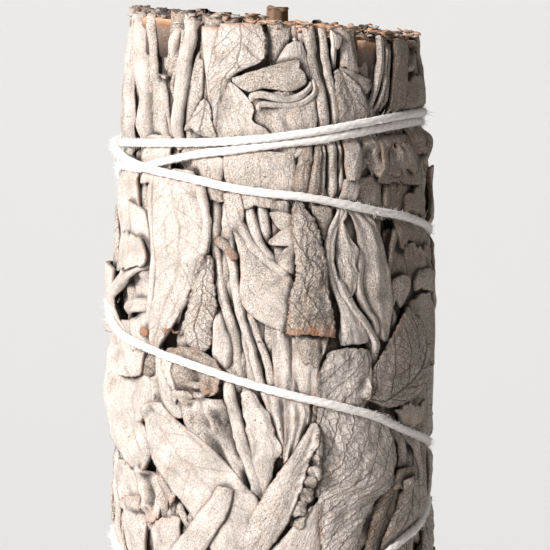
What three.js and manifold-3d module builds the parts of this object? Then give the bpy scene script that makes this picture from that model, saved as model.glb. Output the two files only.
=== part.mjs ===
// A tied bunch of dried white sage. It is a short round stick of leafy sprigs that are packed
// side by side, cut off square at both ends and wound with one length of white cotton string.
// Millimetres, +Z up. The bunch stands on its lower cut end, with the origin on its long axis at
// that end, and its front faces -Y.
import * as THREE from "three";
import { mergeVertices } from "three/addons/utils/BufferGeometryUtils.js";
import Module from "manifold-3d";

const wasm = await Module();
wasm.setup();

// Driving dimensions of the bunch.
const LENGTH = 104;
const END_RADIUS = 16.7;
const BELLY = 1.9; // how much wider the radius is at mid length than at the ends
const BELLY_POWER = 0.6;
const GAP = 0.3; // between one piece and the next

// Leafy sprigs: eight stand in a ring round three.
const RING_SPRIGS = 8;
const RING_START = -22; // degrees from the front to the first border between two sprigs
const HEART_SPRIGS = 3;
const HEART_START = 30;
const HEART_RADIUS = 8.4;
const WAD_ROOM = 0.2; // a wad is this much narrower to each side than its leaves
const WAD_DEPTH = 1.9; // from the leaf surface down to the pressed wad that the leaves grow out of
const WAD_TOP = 3.2; // the wad stops this far below the upper cut end
const WAD_BOTTOM = 1.6;

// Woody stems, which run the whole length.
const CENTRE_STEM_RADIUS = 2.1;
const STEM_SIDES = 8;
const RING_STEM_PLACE = 12.2; // distance from the long axis
const HEART_STEM_PLACE = 5.3;

// Leaves.
const BLADE = 0.8; // thickness
const SCALLOP = 0.16; // how far an edge goes in and out
const SUNK = 0.9; // how far a leaf's root face lies below the wad's surface
const LEAF_ROWS = 3; // on each sprig of the ring
const LEAF_COLUMNS = 2;

// Cotton string.
const STRING_RADIUS = 0.475;
const STRING_SIDES = 5;
const STRING_STEP = 18; // degrees of winding between two rings of the tube
const KNOT_RADIUS = 1.15;
const TAIL = 7;

const SAGE = new THREE.MeshStandardMaterial({ color: 0xcfc8bd, roughness: 0.95 });
const SAGE_DARK = new THREE.MeshStandardMaterial({ color: 0xb3a898, roughness: 0.95 });
const STALK = new THREE.MeshStandardMaterial({ color: 0xa87f58, roughness: 0.9 });
const COTTON = new THREE.MeshStandardMaterial({ color: 0xf6f3ee, roughness: 0.9 });

const rad = THREE.MathUtils.degToRad;
const { lerp, clamp } = THREE.MathUtils;

// A repeatable stream of numbers from 0 to 1.
function draws(seed) {
  let state = seed >>> 0;
  return () => {
    state = (state + 0x6d2b79f5) >>> 0;
    let t = state;
    t = Math.imul(t ^ (t >>> 15), t | 1);
    t ^= t + Math.imul(t ^ (t >>> 7), t | 61);
    return ((t ^ (t >>> 14)) >>> 0) / 4294967296;
  };
}

// Radius of the bunch's leafy surface at a height.
function girth(z) {
  const share = clamp(z / LENGTH, 0, 1);
  return END_RADIUS + BELLY * Math.sin(Math.PI * share) ** BELLY_POWER;
}

// The point at an angle round from the front, a height and a distance from the long axis.
function around(angle, z, radius) {
  return new THREE.Vector3(radius * Math.sin(angle), -radius * Math.cos(angle), z);
}

// Moves each vertex of a unit box or cylinder to where `place` says.
function bent(geometry, place) {
  const position = geometry.getAttribute("position");
  const at = new THREE.Vector3();
  for (let i = 0; i < position.count; i++) {
    at.fromBufferAttribute(position, i);
    at.copy(place(at.x, at.y, at.z));
    position.setXYZ(i, at.x, at.y, at.z);
  }
  return geometry;
}

function solidOf(geometry) {
  const bare = geometry.clone();
  bare.deleteAttribute("normal");
  bare.deleteAttribute("uv");
  const merged = mergeVertices(bare, 1e-4);
  const vertProperties = new Float32Array(merged.getAttribute("position").array);
  const triVerts = new Uint32Array(merged.index.array);
  const made = new wasm.Manifold(new wasm.Mesh({ numProp: 3, vertProperties, triVerts }));
  if (made.volume() > 0) return made;
  triVerts.reverse();
  return new wasm.Manifold(new wasm.Mesh({ numProp: 3, vertProperties, triVerts }));
}

function meshOf(name, solid, material) {
  const { vertProperties, triVerts } = solid.getMesh();
  const geometry = new THREE.BufferGeometry();
  geometry.setAttribute("position", new THREE.BufferAttribute(vertProperties, 3));
  geometry.setIndex(new THREE.BufferAttribute(triVerts, 1));
  const mesh = new THREE.Mesh(geometry, material);
  mesh.name = name;
  return mesh;
}

function joined(solids) {
  return solids.reduce((whole, one) => whole.add(one));
}

// A cut can leave crumbs. Only the largest body is kept.
function largest(solid) {
  const bodies = solid.decompose();
  return bodies.reduce((best, one) => (one.volume() > best.volume() ? one : best));
}

// A leaf blade that lies on the bunch. edge(side, v) gives the angle and height of its left (0)
// or right (1) edge at the share v of its length. `lift` is the height of its outer face above
// the leaf surface at its edges, `crown` how much higher its middle is, and `grow` the room left
// round it when its outline is cut out of what it lies on.
function blade({ edge, lift, crown, thick = BLADE, across = 2, along = 5, grow = 0 }) {
  const box = new THREE.BoxGeometry(1, 1, 1, across, along, 1);
  const at = (side, v) => new THREE.Vector2(edge(side, v).angle * END_RADIUS, edge(side, v).z);
  const middle = (v) => at(0, v).lerp(at(1, v), 0.5);
  return solidOf(
    bent(box, (x, y, z) => {
      const v = y + 0.5;
      const side = 2 * x;
      const left = at(0, v);
      const right = at(1, v);
      const out = right.clone().sub(left).normalize();
      const ahead = middle(Math.min(v + 0.05, 1)).sub(middle(Math.max(v - 0.05, 0))).normalize();
      const scallop = SCALLOP * (Math.round(v * along) % 2 ? 1 : -1);
      const spot = left.lerp(right, x + 0.5);
      spot.addScaledVector(out, (grow + scallop) * side).addScaledVector(ahead, 2 * y * grow);
      const radius = girth(spot.y) + lift + crown * (1 - side * side);
      const depth = z < 0 ? -thick - grow : grow;
      return around(spot.x / END_RADIUS, spot.y, radius + depth);
    }),
  );
}

// An edge given by points (across, below the upper end) as they are seen from straight ahead of
// the direction `facing`.
function seenFrom(facing, points) {
  const curve = new THREE.SplineCurve(points.map(([x, d]) => new THREE.Vector2(x, LENGTH - d)));
  return (v) => {
    const at = curve.getPoint(v);
    const share = clamp(at.x / girth(at.y), -0.985, 0.985);
    return { angle: rad(facing) + Math.asin(share), z: at.y };
  };
}

// A leaf drawn by a rule: it runs between two heights at a slant, widest at `belly`. `tips` are
// the shares of its width that are left at its two ends.
function ruled({ angle, z0, z1, half, slant, belly, bow, tips = [0.22, 0.22] }) {
  return (side, v) => {
    const z = lerp(z0, z1, v);
    const fullness = v < belly ? v / belly : (1 - v) / (1 - belly);
    const tip = v < belly ? tips[0] : tips[1];
    const wide = half * (tip + (1 - tip) * Math.sin((fullness * Math.PI) / 2));
    const middle = angle + (slant * (v - 0.5) + bow * Math.sin(Math.PI * v)) / girth(z);
    return { angle: middle + ((side ? 1 : -1) * wide) / girth(z), z };
  };
}

// A wedge of space between two flat upright borders, `room` away from each.
function wedge({ from, to, inner, outer, bottom, top, room = GAP / 2, across = 1, along = 1 }) {
  const box = new THREE.BoxGeometry(1, 1, 1, across, along, 1);
  return solidOf(
    bent(box, (x, y, z) => {
      const height = lerp(bottom, top, y + 0.5);
      const radius = z < 0 ? inner : outer(height);
      const kept = Math.asin(room / radius);
      return around(lerp(from + kept, to - kept, x + 0.5), height, radius);
    }),
  );
}

function stemSolid(radius, angle, place, from, to, grow = 0) {
  const cylinder = new THREE.CylinderGeometry(radius + grow, radius + grow, to - from, STEM_SIDES);
  cylinder.rotateX(Math.PI / 2);
  const foot = around(angle, 0, place);
  cylinder.translate(foot.x, foot.y, (from + to) / 2);
  return solidOf(cylinder);
}

// Leaf ends that fill the inside of a sprig and show on both cut ends as curved slips.
function slips({ random, from, to, places }) {
  return places.map((depth) => {
    const middle = lerp(from, to, 0.4 + 0.2 * random());
    const half = (to - from) * (0.2 + 0.12 * random());
    const lean = (random() - 0.5) * 0.05;
    const top = LENGTH - 1.1 + 1.6 * random();
    const crown = 1.2 * (random() - 0.3);
    const edge = (side, v) => ({
      angle: middle + (side ? half : -half) + lean * v,
      z: lerp(0, top, v),
    });
    return blade({ edge, lift: -depth, crown, thick: 0.75, along: 1 });
  });
}

// Seen from the front, each loose leaf's two edges from its upper end to its lower one.
// `facing` turns that view, so that a leaf can lie on the sides or the back.
const LOOSE_LEAVES = [
  {
    name: "leaf_top_veined",
    left: [[-5.7, -0.3], [-6.6, 3.2], [-7.6, 6.5], [-7, 12.6]],
    right: [[-1.3, 0], [-1.4, 3.6], [-5.2, 6.2], [-6.4, 12.6]],
    lift: -0.17,
    crown: 0.26,
  },
  {
    name: "leaf_folded",
    left: [[-5, 6], [-6, 9], [-6.5, 12.2]],
    right: [[3, 5], [4.6, 8], [4.8, 11.6]],
    lift: -0.28,
    crown: 0.26,
    along: 3,
    flap: {
      left: [[-4.8, 6], [-1, 4.7], [2.6, 3.8]],
      right: [[-4.4, 6.6], [-1.5, 7.6], [4, 7.1]],
      lift: -0.02,
      crown: 0.15,
      along: 3,
    },
  },
  {
    name: "leaf_smooth_upper",
    left: [[-5.6, 14.2], [-5.3, 17], [-2.6, 21]],
    right: [[2.4, 14.2], [2.5, 17], [-0.6, 21.4]],
    lift: -0.23,
    crown: 0.3,
    along: 4,
  },
  {
    name: "leaf_broad_left",
    left: [[-14.2, 17.5], [-13.6, 24], [-13.6, 30], [-13.7, 36.6]],
    right: [[-8.2, 17.5], [-7.4, 24], [-9.8, 31], [-12.7, 36.8]],
    lift: -0.2,
    crown: 0.41,
  },
  {
    name: "leaf_crumpled",
    left: [[-7.9, 26.8], [-9.6, 31], [-9.9, 34], [-8.6, 36.8]],
    right: [[-7.1, 26.6], [-6.6, 31], [-6.6, 34.5], [-7.4, 36.8]],
    lift: -0.38,
    crown: 0.26,
    along: 4,
  },
  {
    name: "leaf_brown_wad",
    left: [[-12.6, 37.4], [-12, 39.4], [-10, 42.2]],
    right: [[-8.6, 37.2], [-6.6, 39], [-6, 41.6]],
    lift: -0.15,
    crown: 0.3,
    along: 3,
  },
  {
    name: "leaf_mid_band",
    left: [[-4.6, 19.6], [-3.6, 22.8], [-1.6, 26.4], [1, 28.6]],
    right: [[-3.2, 19.4], [-2.2, 22.5], [-0.4, 25.7], [1.8, 27.8]],
    lift: -0.25,
    crown: 0.34,
    along: 4,
  },
  {
    name: "leaf_mid_smooth",
    left: [[-4.3, 24.2], [-4, 28], [-3.4, 31.7], [-0.4, 34.4]],
    right: [[-3.4, 24.6], [-1.4, 28], [1.8, 30.2], [2, 34.8]],
    lift: -0.23,
    crown: 0.3,
    along: 4,
  },
  {
    name: "leaf_rough_centre",
    left: [[2.1, 19.2], [2.2, 25], [2.5, 30], [1.9, 35]],
    right: [[4.2, 19.2], [5.8, 24.5], [6.4, 30.5], [6.8, 35.6]],
    lift: -0.12,
    crown: 0.34,
  },
  {
    name: "leaf_swan_neck",
    left: [[7.1, 20.6], [6.2, 24], [6.7, 28.5], [7.2, 32.5], [7.6, 36.1]],
    right: [[8.2, 20.6], [7.3, 24.5], [8, 28.5], [9.6, 32], [11.4, 36.4]],
    lift: -0.2,
    crown: 0.38,
    along: 6,
  },
  {
    name: "leaf_long_folds",
    left: [[9.6, 20.9], [10.1, 26], [10.3, 31], [12, 36]],
    right: [[11.3, 20.9], [12.9, 26], [13.4, 30.5], [13.2, 36]],
    lift: -0.3,
    crown: 0.41,
  },
  {
    name: "leaf_veined_upper",
    left: [[6.6, 36.9], [5.2, 39], [4.8, 43.5]],
    right: [[11.5, 36.9], [10.4, 39.5], [9.2, 43.3]],
    lift: -0.3,
    crown: 0.26,
    along: 4,
  },
  {
    name: "leaf_slant_right",
    left: [[15.4, 31.7], [13.4, 35.8], [11.4, 39.2], [10.2, 41.7]],
    right: [[16.4, 33.5], [17.6, 38.6], [15.4, 42.6], [10.6, 42.4]],
    lift: -0.15,
    crown: 0.22,
  },
  {
    name: "leaf_broad_slant",
    left: [[-14.1, 44.6], [-13.6, 49], [-11.2, 53], [-7, 59.5], [-4, 64]],
    right: [[-12.3, 43.4], [-9.6, 45.6], [-6, 48.8], [-2.2, 54.4], [-1, 62]],
    lift: -0.25,
    crown: 0.3,
  },
  {
    name: "leaf_big_veined",
    left: [[5, 44.6], [4.8, 49], [5.2, 54], [5.4, 60], [5.8, 67]],
    right: [[12.9, 45.6], [13.4, 50.5], [11.6, 54.4], [9.4, 59.5], [8, 67]],
    lift: -0.2,
    crown: 0.34,
  },
  {
    name: "leaf_long_slant",
    left: [[3.8, 45.6], [1, 50.2], [-1.8, 54.6], [-4, 60], [-6.4, 66]],
    right: [[4.6, 46.4], [4.2, 50.2], [2.2, 56], [-0.8, 60.5], [-4, 66.4]],
    lift: -0.08,
    crown: 0.26,
  },
  {
    name: "leaf_rolled_short",
    left: [[-5.8, 52.4], [-8, 55.8], [-11.6, 60], [-13.4, 63.5]],
    right: [[-4.2, 52.7], [-5.2, 56.5], [-7.8, 60.2], [-10.6, 64]],
    lift: -0.05,
    crown: 0.38,
    along: 4,
  },
  {
    name: "leaf_right_low",
    left: [[14.8, 48], [14.6, 51.5], [13, 56.5], [10.6, 62]],
    right: [[15.9, 48], [17, 51.5], [16.2, 57], [13, 63]],
    lift: -0.25,
    crown: 0.3,
    along: 4,
  },
  {
    name: "leaf_left_fold",
    facing: -72,
    left: [[-3, 26.5], [-3.4, 30], [-2.4, 35]],
    right: [[1.6, 27.5], [2.4, 31], [0.6, 35]],
    lift: -0.05,
    crown: 0.38,
    along: 4,
  },
];

// Loose leaves on the sides, the back and low on the front, by a rule.
const RULED_LEAVES = [
  { name: "leaf_low_front", angle: 4, top: 70, long: 28, half: 4, slant: -7 },
  { name: "leaf_low_left", angle: -52, top: 68, long: 30, half: 3.6, slant: 4 },
  { name: "leaf_side_right_high", angle: 100, top: 16, long: 30, half: 3.8, slant: 5 },
  { name: "leaf_side_right_low", angle: 92, top: 60, long: 34, half: 4.2, slant: -6 },
  { name: "leaf_back_high", angle: 150, top: 24, long: 32, half: 4.4, slant: 7 },
  { name: "leaf_back_low", angle: 178, top: 58, long: 36, half: 4.6, slant: -8 },
  { name: "leaf_back_left", angle: 214, top: 28, long: 34, half: 4, slant: 4 },
  { name: "leaf_side_left_low", angle: 252, top: 52, long: 38, half: 4.4, slant: 7 },
];

function looseLeaf(shape, grow = 0) {
  const { facing = 0, left, right, lift, crown, along = 5, flap } = shape;
  const edges = [seenFrom(facing, left), seenFrom(facing, right)];
  const edge = (side, v) => edges[side](v);
  const made = blade({ edge, lift, crown, along, grow });
  return flap ? made.add(looseLeaf({ facing, ...flap }, grow)) : made;
}

function ruledLeaf({ angle, top, long, half, slant }, grow = 0) {
  const z0 = LENGTH - top;
  const edge = ruled({
    angle: rad(angle), z0, z1: z0 - long, half, slant, belly: 0.42, bow: 1.2,
  });
  return blade({ edge, lift: -0.2, crown: 0.35, grow });
}

// The leaves that grow out of one sprig's wad and cover it.
function sprigLeaves(from, to, index) {
  const random = draws(7001 + 131 * index);
  const middle = (from + to) / 2;
  const wide = to - from;
  const leaves = [];
  const pitch = LENGTH / LEAF_ROWS;
  for (let row = 0; row < LEAF_ROWS; row++) {
    for (let column = 0; column < LEAF_COLUMNS; column++) {
      const rolled = (column + row + index) % 3 === 0;
      const long = pitch * (1.15 + 0.35 * random());
      const centre = pitch * (row + 0.5) + (random() - 0.5) * 10;
      const bottom = Math.max(centre - long / 2, 0);
      const top = Math.min(centre + long / 2, LENGTH - 0.6 + 1.8 * random());
      const up = random() > 0.4;
      const low = row === 0;
      const high = row === LEAF_ROWS - 1;
      const edge = ruled({
        angle: middle + wide * ((column + 0.5) / LEAF_COLUMNS - 0.5) * 0.92,
        z0: low ? 0 : bottom,
        z1: high ? LENGTH - 0.7 + 1.6 * random() : top,
        tips: [low ? 0.9 : 0.22, high ? 0.9 : 0.22],
        half: rolled ? 1.5 + 0.4 * random() : 3 + 1.3 * random(),
        slant: (random() - 0.5) * 5,
        belly: up ? 0.4 : 0.6,
        bow: (random() - 0.5) * 1.6,
      });
      const crown = rolled ? 0.6 : 0.4;
      const lift = -0.85 + 0.4 * random() - (rolled ? 0.1 : 0);
      const thick = WAD_DEPTH + lift + SUNK;
      leaves.push(blade({ edge, lift, crown, thick, across: 2, along: 3 }));
    }
  }
  return leaves;
}

const stems = [];
stems.push({
  name: "stem_centre", radius: CENTRE_STEM_RADIUS, angle: 0, place: 0, top: LENGTH - 0.4,
});

const sprigs = [];
for (let k = 0; k < RING_SPRIGS; k++) {
  const random = draws(400 + 17 * k);
  const from = rad(RING_START + (360 / RING_SPRIGS) * k);
  const to = rad(RING_START + (360 / RING_SPRIGS) * (k + 1));
  const wad = wedge({
    from, to, inner: HEART_RADIUS + GAP, outer: (z) => girth(z) - WAD_DEPTH, bottom: WAD_BOTTOM,
    top: LENGTH - WAD_TOP, room: GAP / 2 + WAD_ROOM, across: 2, along: 4,
  });
  const space = wedge({
    from, to, inner: HEART_RADIUS, outer: () => 2 * END_RADIUS, bottom: -5, top: LENGTH + 5,
  });
  const inside = slips({ random, from, to, places: [2.6, 4.6, 6.9] });
  const blades = joined(sprigLeaves(from, to, k)).intersect(space);
  const leaves = joined([wad, ...inside, blades]);
  stems.push({
    name: `stem_ring_${k + 1}`,
    radius: 1.2 + 0.6 * random(),
    angle: (from + to) / 2 + (random() - 0.5) * 0.2,
    place: RING_STEM_PLACE,
    top: LENGTH - 0.9 + 1.5 * random(),
  });
  sprigs.push({ name: `sprig_ring_${k + 1}`, solid: leaves });
}
for (let k = 0; k < HEART_SPRIGS; k++) {
  const random = draws(900 + 23 * k);
  const from = rad(HEART_START + (360 / HEART_SPRIGS) * k);
  const to = rad(HEART_START + (360 / HEART_SPRIGS) * (k + 1));
  const wad = wedge({
    from, to, inner: 1, outer: () => HEART_RADIUS, bottom: WAD_BOTTOM,
    top: LENGTH - WAD_TOP - 0.6, across: 6,
  });
  const inside = slips({ random, from, to, places: [10.4, 12.6] });
  stems.push({
    name: `stem_heart_${k + 1}`,
    radius: 1.3 + 0.5 * random(),
    angle: (from + to) / 2 + (random() - 0.5) * 0.3,
    place: HEART_STEM_PLACE,
    top: k === 1 ? LENGTH + 2.4 : LENGTH - 0.5 + 1.2 * random(),
  });
  sprigs.push({ name: `sprig_heart_${k + 1}`, solid: joined([wad, ...inside]) });
}

// Loose leaves, the later ones over the earlier.
const loose = [
  ...LOOSE_LEAVES.map((shape) => ({
    name: shape.name, solid: looseLeaf(shape), room: looseLeaf(shape, GAP),
  })),
  ...RULED_LEAVES.map((shape) => ({
    name: shape.name, solid: ruledLeaf(shape), room: ruledLeaf(shape, GAP),
  })),
];
loose.forEach((under, i) => {
  for (const over of loose.slice(i + 1)) under.solid = under.solid.subtract(over.room);
  under.solid = largest(under.solid);
});

for (const sprig of sprigs) {
  for (const { radius, angle, place, top } of stems) {
    sprig.solid = sprig.solid.subtract(stemSolid(radius, angle, place, -2, top + 9, GAP));
  }
  for (const { room } of loose) sprig.solid = sprig.solid.subtract(room);
  sprig.solid = largest(sprig.solid);
}

// The winding: degrees round from the front, counted on from turn to turn, and millimetres below
// the upper end. It starts at the knot at the back, rings the upper end once, spirals down, rings
// the lower end, climbs back in one turn and ends tucked under its second turn and back at the
// knot.
const WINDING = [
  [-180, 14.6], [-135, 14.1], [-90, 13.3], [-51, 13.2], [-34, 13.15], [-16, 12.95], [0, 12.5],
  [16, 11.8], [34, 10.75], [56, 9.6], [85, 9.1], [130, 10.2], [180, 11.2], [230, 12],
  [272, 13.7], [292, 14.9], [304, 15.7], [314.5, 16.4], [327, 17.1], [347, 18.4], [360, 18.95],
  [373, 19.4], [386, 20.1], [400, 20.9], [414, 21.5], [427, 22.2], [450, 23.2], [490, 25],
  [540, 27], [590, 29], [622, 30.6], [640, 33.4], [654, 35.2], [668, 36.4], [680, 37.5],
  [694, 38.8], [705, 40], [720, 41.4], [739, 42.9], [759, 44.5], [772, 45.8], [785, 46.6],
  [810, 47.6], [860, 50.5], [900, 53], [945, 55.6], [985, 58.2], [1030, 62.5], [1080, 66.5],
  [1130, 70], [1170, 72], [1260, 77], [1350, 82], [1440, 87.5], [1530, 90.6], [1620, 92],
  [1710, 92.8], [1800, 93.2], [1890, 92.8], [1960, 92], [2040, 89.6], [2110, 82], [2160, 73.5],
  [2194, 62.8], [2205, 59.8], [2216, 58], [2230, 56.4], [2250, 54.4], [2300, 44], [2340, 34],
  [2385, 24], [2425, 16.9], [2446, 15.8], [2462, 16.1], [2472, 15.5], [2482, 14.9],
  [2492, 14.4], [2501, 14.1], [2512, 13.7], [2520, 13.35], [2536, 12.8], [2554, 11.8],
  [2576, 10.65], [2605, 10.15], [2650, 12.2], [2684, 14.4],
];
const TUCKED_FROM = 2400; // degrees of winding after which the string lies under other turns
const END_OF_WINDING = 2684;
const START_OF_WINDING = -180;

function windingDepth(turned) {
  let i = 1;
  while (i < WINDING.length - 1 && WINDING[i][0] < turned) i++;
  const [p0, p1, p2, p3] = [i - 2, i - 1, i, i + 1].map(
    (n) => WINDING[clamp(n, 0, WINDING.length - 1)],
  );
  const span = p2[0] - p1[0];
  const t = (turned - p1[0]) / span;
  const slope1 = p2 === p0 ? 0 : ((p2[1] - p0[1]) / (p2[0] - p0[0])) * span;
  const slope2 = p3 === p1 ? 0 : ((p3[1] - p1[1]) / (p3[0] - p1[0])) * span;
  const t2 = t * t;
  const t3 = t2 * t;
  return (
    (2 * t3 - 3 * t2 + 1) * p1[1] + (t3 - 2 * t2 + t) * slope1 +
    (3 * t2 - 2 * t3) * p2[1] + (t3 - t2) * slope2
  );
}

// How far the leaves reach out from the axis, on a grid of angles and heights.
const CELLS_ROUND = 120;
const CELL_HIGH = 0.8;
const rows = Math.ceil((LENGTH + 4) / CELL_HIGH);
const reach = new Float32Array(CELLS_ROUND * rows);
const SAMPLE = 0.6; // millimetres between the points that a face is read at

function cellOf(angle, z) {
  const turns = angle / (2 * Math.PI);
  const column = Math.floor((turns - Math.floor(turns)) * CELLS_ROUND) % CELLS_ROUND;
  return clamp(Math.floor(z / CELL_HIGH), 0, rows - 1) * CELLS_ROUND + column;
}

function readReach(solid) {
  const { vertProperties, triVerts } = solid.getMesh();
  const corner = (n) => new THREE.Vector3().fromArray(vertProperties, 3 * triVerts[n]);
  for (let n = 0; n < triVerts.length; n += 3) {
    const [a, b, c] = [corner(n), corner(n + 1), corner(n + 2)];
    const steps = Math.ceil(Math.max(a.distanceTo(b), b.distanceTo(c), c.distanceTo(a)) / SAMPLE);
    for (let i = 0; i <= steps; i++) {
      for (let j = 0; j <= steps - i; j++) {
        const [p, q] = [i / steps, j / steps];
        const x = a.x + (b.x - a.x) * p + (c.x - a.x) * q;
        const y = a.y + (b.y - a.y) * p + (c.y - a.y) * q;
        const z = a.z + (b.z - a.z) * p + (c.z - a.z) * q;
        const at = cellOf(Math.atan2(x, -y), z);
        reach[at] = Math.max(reach[at], Math.hypot(x, y));
      }
    }
  }
}
for (const { solid } of [...sprigs, ...loose]) readReach(solid);

// The string is taut: it touches only what stands out, and runs straight between such places.
function windingRings() {
  const rings = [];
  for (let t = START_OF_WINDING; t <= END_OF_WINDING; t += STRING_STEP) {
    const z = LENGTH - windingDepth(t);
    let radius = 0;
    for (let side = -0.7; side <= 0.7; side += 0.1) {
      const turned = t + side * STRING_STEP;
      const height = LENGTH - windingDepth(clamp(turned, START_OF_WINDING, END_OF_WINDING));
      for (const off of [-1, 0, 1]) {
        radius = Math.max(radius, reach[cellOf(rad(turned), height + off * 0.7)]);
      }
    }
    const free = (radius + GAP) / Math.cos(rad(STRING_STEP / 2)) + STRING_RADIUS;
    rings.push({ turned: t, z, radius: free, order: t > TUCKED_FROM ? -t : t });
  }
  const apart = 2 * STRING_RADIUS + GAP;
  for (let pass = 0; pass < 60; pass++) {
    for (let i = 1; i < rings.length - 1; i++) {
      const chord = ((rings[i - 1].radius + rings[i + 1].radius) / 2) * Math.cos(rad(STRING_STEP));
      rings[i].radius = Math.max(rings[i].radius, chord);
    }
    for (const over of rings) {
      for (const under of rings) {
        if (over.order <= under.order || Math.abs(over.turned - under.turned) < 180) continue;
        if ((over.turned - under.turned) % 360 !== 0) continue;
        const rise = (ring) => {
          const next = rings[Math.min(rings.indexOf(ring) + 1, rings.length - 1)];
          return next.z - ring.z;
        };
        const closing = Math.abs(rise(over) - rise(under));
        const near = Math.abs(over.z - under.z) < apart * 0.72 + closing;
        if (near) over.radius = Math.max(over.radius, under.radius + apart);
      }
    }
  }
  return rings;
}

function stringSolid() {
  const rings = windingRings();
  const steps = rings.length - 1;
  const centre = rings.map(({ turned, z, radius }) => around(rad(turned), z, radius));
  const cylinder = new THREE.CylinderGeometry(1, 1, 1, STRING_SIDES, steps);
  const tube = solidOf(
    bent(cylinder, (x, y, z) => {
      const n = Math.round((0.5 - y) * steps);
      const before = centre[Math.max(n - 1, 0)];
      const after = centre[Math.min(n + 1, steps)];
      const ahead = after.clone().sub(before).normalize();
      const out = around(rad(rings[n].turned), 0, 1);
      const side = new THREE.Vector3().crossVectors(ahead, out).normalize();
      const face = new THREE.Vector3().crossVectors(side, ahead);
      return centre[n]
        .clone()
        .addScaledVector(side, x * STRING_RADIUS)
        .addScaledVector(face, z * STRING_RADIUS);
    }),
  );
  const knotAt = centre[0].clone().lerp(centre[steps], 0.5);
  const out = around(rad(START_OF_WINDING), 0, 1);
  const knot = new THREE.TorusKnotGeometry(KNOT_RADIUS * 0.62, STRING_RADIUS * 0.92, 22, 5, 2, 3);
  knot.rotateX(Math.PI / 2);
  knot.scale(1, 0.8, 1);
  knot.translate(knotAt.x, knotAt.y + 0.35 * out.y, knotAt.z);
  return { tube, knot: solidOf(knot), knotAt };
}

const { tube, knot, knotAt } = stringSolid();
const tails = [-1, 1].map((side) => {
  const line = new THREE.CylinderGeometry(STRING_RADIUS, STRING_RADIUS, TAIL, STRING_SIDES);
  line.rotateY(0.5);
  line.translate(0, -TAIL / 2, 0);
  line.rotateX(Math.PI / 2);
  line.rotateY(side * 0.55);
  line.translate(knotAt.x, knotAt.y + 0.9, knotAt.z);
  return solidOf(line);
});
const string = largest(joined([tube, knot, ...tails]));

const bunch = new THREE.Group();
bunch.name = "sage_bunch";
for (const { name, radius, angle, place, top } of stems) {
  bunch.add(meshOf(name, stemSolid(radius, angle, place, 0, top), STALK));
}
for (const { name, solid } of sprigs) bunch.add(meshOf(name, solid, SAGE));
for (const { name, solid } of loose) {
  bunch.add(meshOf(name, solid, /wad|rough/.test(name) ? SAGE_DARK : SAGE));
}
bunch.add(meshOf("string", string, COTTON));

export default bunch;
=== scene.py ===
# %% [markdown]
# # A tied bunch of dried white sage
# The real object is a stick of leafy sage sprigs, packed side by side while fresh, wound tightly
# with white cotton string and dried. Its surface is a crush of leaves: some lie flat and show
# their net of veins, but most are folded or rolled lengthwise into narrow ridges with dark
# crevices between them. Every leaf here is a thin mesh sheet of its own that is laid over the
# ones before it. Working distances are millimetres, and meshes are made in metres.

import math
from types import SimpleNamespace

import bpy
import numpy as np
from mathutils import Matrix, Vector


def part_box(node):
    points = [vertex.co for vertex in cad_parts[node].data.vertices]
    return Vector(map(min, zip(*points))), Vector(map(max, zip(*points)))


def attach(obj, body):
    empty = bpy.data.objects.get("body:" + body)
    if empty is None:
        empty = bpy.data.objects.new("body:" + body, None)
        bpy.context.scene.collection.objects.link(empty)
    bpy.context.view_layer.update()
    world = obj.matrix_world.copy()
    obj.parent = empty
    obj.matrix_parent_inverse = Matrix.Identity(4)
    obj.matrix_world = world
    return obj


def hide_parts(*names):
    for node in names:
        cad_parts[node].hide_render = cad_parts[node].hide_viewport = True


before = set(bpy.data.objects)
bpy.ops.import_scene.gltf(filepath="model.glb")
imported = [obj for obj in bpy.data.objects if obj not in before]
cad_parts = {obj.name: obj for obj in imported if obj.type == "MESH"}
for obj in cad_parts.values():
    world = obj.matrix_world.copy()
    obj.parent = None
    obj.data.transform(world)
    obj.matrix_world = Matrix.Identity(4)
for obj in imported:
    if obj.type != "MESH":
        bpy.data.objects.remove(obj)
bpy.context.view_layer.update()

# %% [markdown]
# ## Camera
# The photograph was taken from the front, almost level and from far enough off that the sides
# look parallel. A long lens two and a half metres away does the same. It sees only the upper
# 60 mm.

# %% Camera
LENGTH = 104.0
VIEW_WIDTH = 63.2
VIEW_DISTANCE = 2500.0
VIEW_RISE = math.radians(1.6)
FRONT = 18.6  # the radius of the nearest surface, which is seen this much lower than the axis
LOOK_AT = np.array([0.23, 0.0, LENGTH - 28.2 - FRONT * math.sin(VIEW_RISE)])


def make_camera():
    data = bpy.data.cameras.new("camera")
    data.sensor_width = 36.0
    data.lens = data.sensor_width * VIEW_DISTANCE / VIEW_WIDTH
    camera = bpy.data.objects.new("camera", data)
    bpy.context.scene.collection.objects.link(camera)
    away = np.array([0.0, -math.cos(VIEW_RISE), math.sin(VIEW_RISE)])
    camera.location = (LOOK_AT + VIEW_DISTANCE * away) / 1000
    camera.rotation_euler = (math.pi / 2 - VIEW_RISE, 0.0, 0.0)
    bpy.context.scene.camera = camera
    return camera


camera = make_camera()
print("lens, mm:", round(camera.data.lens, 1))

# %% [markdown]
# ## The bunch as a rolled-out sheet
# Everything on the outside is easier to lay out flat. A place on the bunch is `s`, the distance
# round it from the front, and `z`, the height. A third number, `h`, is how far a point stands
# out from the bunch's average surface. Only at the end is all of it bent round the long axis.

# %% Shape of the bunch
END_RADIUS = 16.7
BELLY = 1.9
CUT_SLOPE = 0.088  # of the upper cut end, down to the right
BELLY_POWER = 0.6
ROUND = 18.3  # the radius at which s is measured
CIRCUIT = 2 * math.pi * ROUND


def girth(z):
    share = np.clip(np.asarray(z, float) / LENGTH, 0.0, 1.0)
    return END_RADIUS + BELLY * np.sin(math.pi * share) ** BELLY_POWER


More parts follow.
